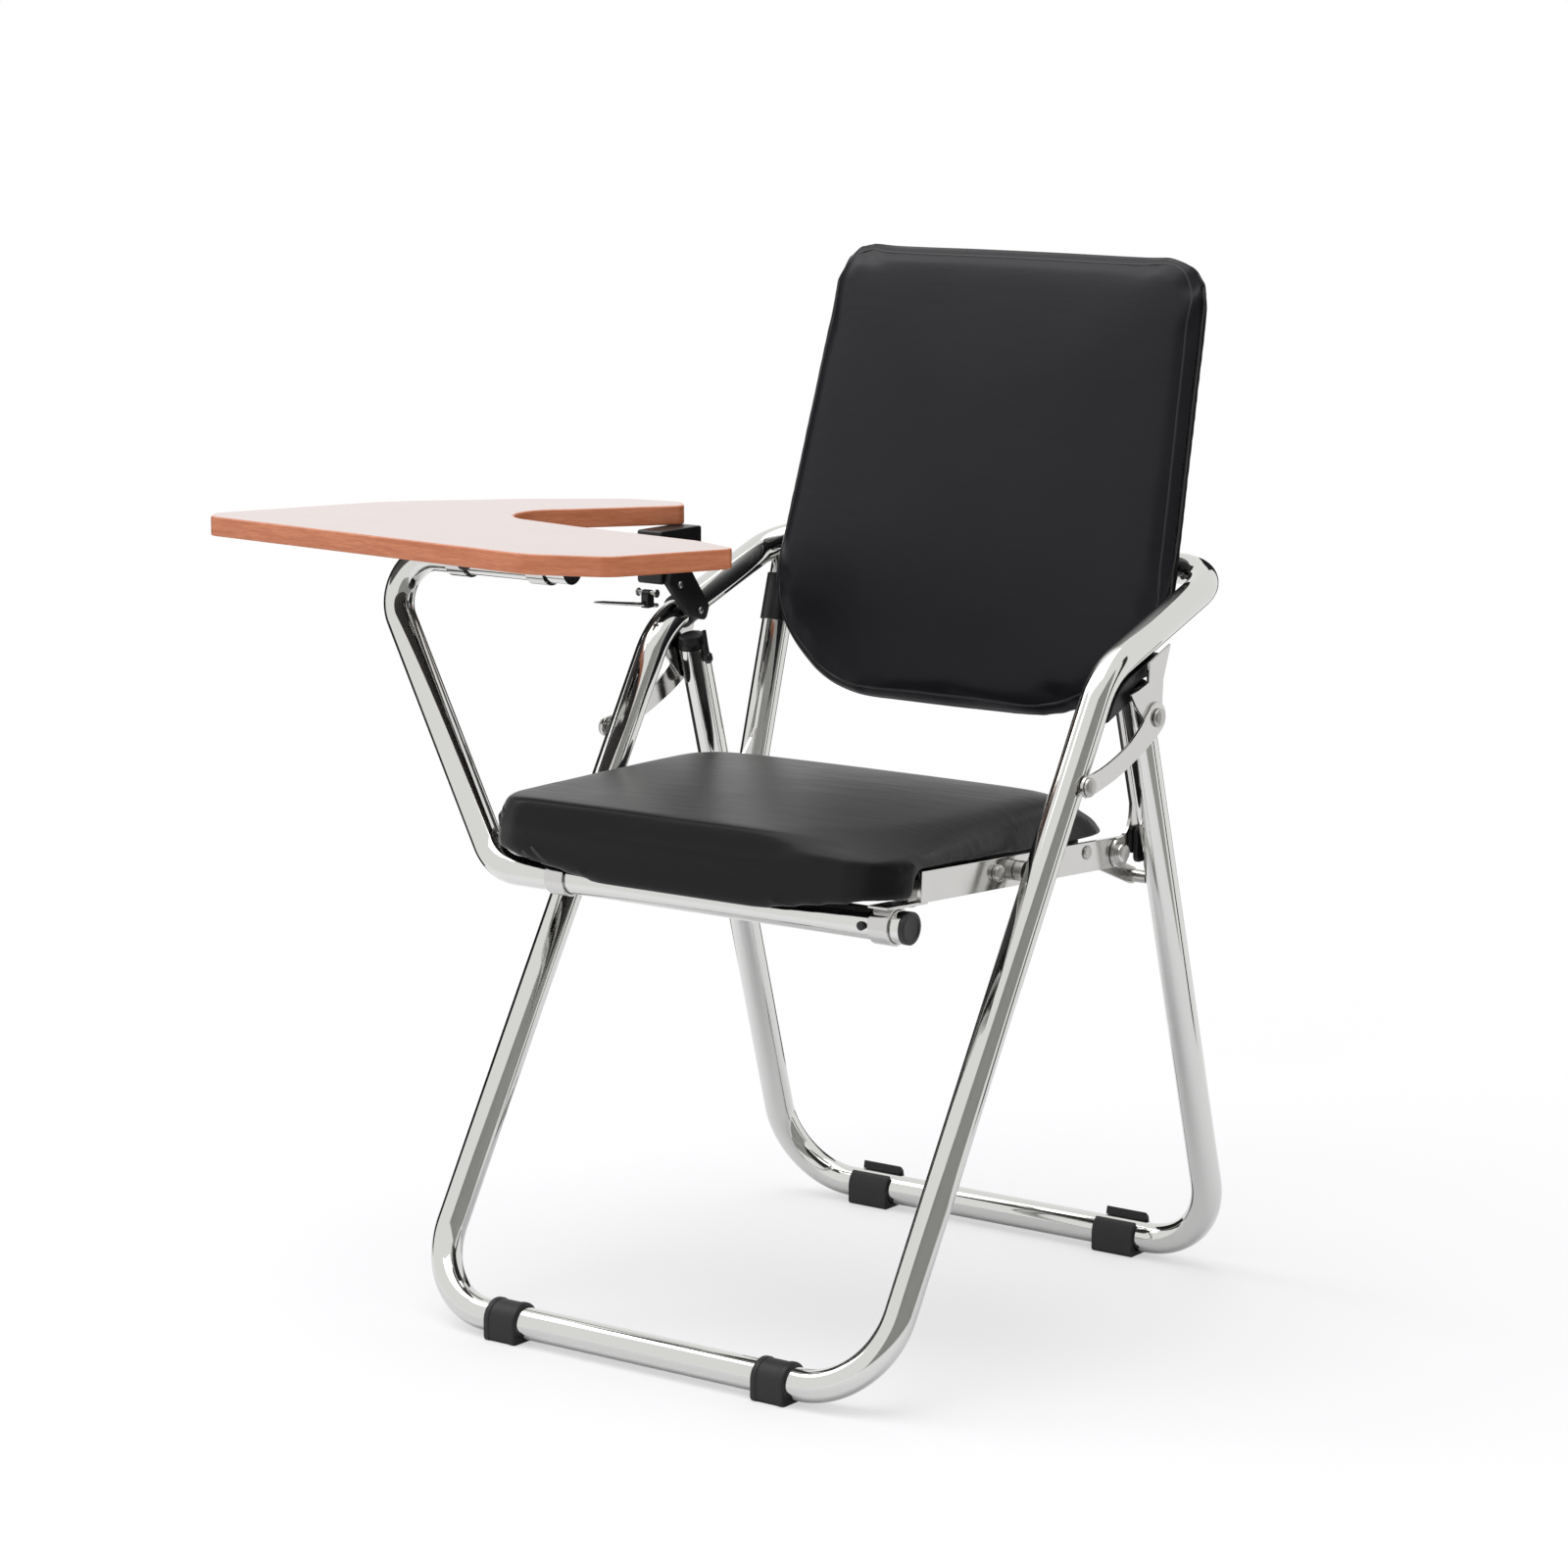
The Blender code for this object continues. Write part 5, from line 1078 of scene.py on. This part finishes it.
# The faces of the boxed band take the darker copy of the leather: painted shade on the sides that turn from
# the light.
back.data.materials.append(SHADED_SIDE_COVER)
middles = np.empty(len(back.data.polygons) * 3)
back.data.polygons.foreach_get("center", middles)
away = middles.reshape(-1, 3) - stored(BACK_BASE)
across = np.stack([away[:, 0], away @ UP], 1)
blocks = np.array_split(across, 64)
nearest = np.concatenate([np.abs(block[:, None] - rim[None]).sum(2).argmin(1) for block in blocks])
boxed = np.linalg.norm(across - rim[nearest], axis=1) < BAND_IN
back.data.polygons.foreach_set("material_index", boxed.astype(np.int32))
print("back seams", len(SEAM_PLACES), "and boxed faces", int(boxed.sum()))

# %% Seams of the seat
SEAM_TOP = np.array([-0.190, -0.187, 0.416])
SEAM_LOW = np.array([-0.122, -0.205, 0.372])
SEAM_APART = np.array([0.010, 0, 0.003])
share = np.linspace(0, 1, 60)[:, None]
for label, shift in (("inner", 0), ("outer", -1)):
    line = SEAM_TOP + share * (SEAM_LOW - SEAM_TOP) + shift * SEAM_APART
    laid("corner_seam_" + label, seat, "seat_pad", stored(line), 1.5 * MM, 0.2 * MM, PIPING)
print("seat seams 2")

# %% [markdown]
# ## Stage
# A pale seamless floor under soft studio light. Far from the chair the floor turns to plain white for the
# camera and for reflections, so no horizon shows. Near the chair it keeps the shadow.

# %% Floor


def plain_rays(tree):
    """Two sockets: 1 for camera rays, and 1 for camera, glossy and transmission rays."""
    rays = add(tree, "ShaderNodeLightPath", {}).outputs
    glossy = add(tree, "ShaderNodeMath", {0: rays["Is Camera Ray"], 1: rays["Is Glossy Ray"]},
                 operation="MAXIMUM")
    clear = add(tree, "ShaderNodeMath", {0: glossy.outputs["Value"], 1: rays["Is Transmission Ray"]},
                operation="MAXIMUM")
    return rays["Is Camera Ray"], clear.outputs["Value"]


CENTRE = stored([0, 0, 0])
FLOOR_REACH = 9.0
FADE = (0.45, 1.5)
floor_points = [(x, y, 0.0) for x in (-FLOOR_REACH, FLOOR_REACH) for y in (-FLOOR_REACH, FLOOR_REACH)]
paper, tree, shader, place = finish("pale seamless paper", Roughness=0.9, Base_Color=linear("#F8F8FB"))
middle = add(tree, "ShaderNodeVectorMath", {0: place, 1: tuple(CENTRE)}, operation="DISTANCE")
camera_ray, clear = plain_rays(tree)
pale = add(tree, "ShaderNodeMath", {0: camera_ray, 1: 0.5}, operation="MULTIPLY")
fade = add(tree, "ShaderNodeMapRange", {"Value": middle.outputs["Value"], "From Min": FADE[0],
                                        "From Max": FADE[1], "To Min": pale.outputs["Value"]},
           interpolation_type="SMOOTHSTEP")
share = add(tree, "ShaderNodeMath", {0: fade.outputs["Result"], 1: clear}, operation="MULTIPLY")
white = add(tree, "ShaderNodeEmission", {"Color": (1, 1, 1, 1), "Strength": 1.0})
mixed = add(tree, "ShaderNodeMixShader", {0: share.outputs["Value"], 1: shader.outputs["BSDF"],
                                          2: white.outputs["Emission"]})
tree.links.new(mixed.outputs["Shader"], tree.nodes["Material Output"].inputs["Surface"])
floor = shown("floor", np.array(floor_points) + CENTRE, [(0, 2, 3, 1)], paper)
print("floor", 2 * FLOOR_REACH, "across")

# %% [markdown]
# The world is white where it is seen, straight or in metal. As light it is weaker: the lamps add to it.

# %% World
SKY_LIGHT = 0.70
world = bpy.data.worlds.new("white studio")
world.use_nodes = True
bpy.context.scene.world = world
tree = world.node_tree
clear = plain_rays(tree)[1]
strength = add(tree, "ShaderNodeMapRange", {"Value": clear, "To Min": SKY_LIGHT, "To Max": 1.0})
back_light = tree.nodes["Background"]
back_light.inputs["Color"].default_value = (1, 1, 1, 1)
tree.links.new(strength.outputs["Result"], back_light.inputs["Strength"])
print("world", world.name)

# %% [markdown]
# Two large softboxes give the light its direction: one above, and a weaker one on the tablet's side.

# %% Lamps
LAMPS = {
    "softbox above": ((-0.5, -0.3, 3.0), 2.6, 46),
    "softbox left": ((-3.0, -0.6, 3.0), 1.6, 24),
}


def aimed(obj, place, target):
    """Sets an object at a place with its -Z towards a target."""
    away = unit(np.asarray(place, float) - np.asarray(target, float))
    across = unit(np.cross([0.01, 0.02, 1.0], away))
    turn = np.eye(4)
    turn[:3, 0], turn[:3, 1], turn[:3, 2], turn[:3, 3] = across, np.cross(away, across), away, place
    obj.matrix_world = Matrix(turn.tolist())


for name, (place, size, power) in LAMPS.items():
    light = bpy.data.lights.new(name, "AREA")
    light.shape = "RECTANGLE"
    light.size = light.size_y = size
    light.energy = power
    aimed(linked(name, light), stored(place), stored([0, 0, 0.4]))
print("lamps", len(LAMPS))

# %% [markdown]
# Chrome needs something dark to reflect. Black and grey sheets stand round the chair, as a photographer of
# products would place them. Only reflections see them, so they cast no shadow.

# %% Sheets for the chrome
SHEET_NEAR = 0.9
SHEET_FAR = 3.6
SHEET_LOW = 0.004
SHEET_TOP = 3.0
BLACK = finish("matte black sheet", Roughness=0.9, Base_Color=linear("#0C0C0C"))[0]
GREY = finish("matte grey sheet", Roughness=0.9, Base_Color=linear("#A4A4A1"))[0]
SHEETS = {
    "black_sheet_left": (118, 158, BLACK),
    "grey_sheet_front": (-76, 16, GREY),
    "black_sheet_right": (-94, -87, BLACK),
    "black_sheet_rear": (-166, -148, BLACK),
}
towards = np.array([np.sin(CAMERA_AZIMUTH), -np.cos(CAMERA_AZIMUTH), 0])
leftwards = np.array([-np.cos(CAMERA_AZIMUTH), -np.sin(CAMERA_AZIMUTH), 0])


def sheet(name, start, end, material):
    """A sheet between two angles left of the camera: radius*(cos a, sin a), then up as a wall."""
    a = np.radians(np.linspace(start, end, 25))[:, None]
    radial = np.cos(a) * towards + np.sin(a) * leftwards
    reach = np.array([(SHEET_NEAR, SHEET_LOW), (SHEET_FAR, SHEET_LOW), (SHEET_FAR, SHEET_TOP)])
    points = radial[:, None] * reach[None, :, :1] + reach[None, :, 1:] * np.array([0, 0, 1.0])
    obj = grid(name, points + CENTRE, material, wrap_columns=False)
    obj.visible_camera = obj.visible_diffuse = obj.visible_shadow = False


for name, (start, end, material) in SHEETS.items():
    sheet(name, start, end, material)
print("sheets", len(SHEETS))
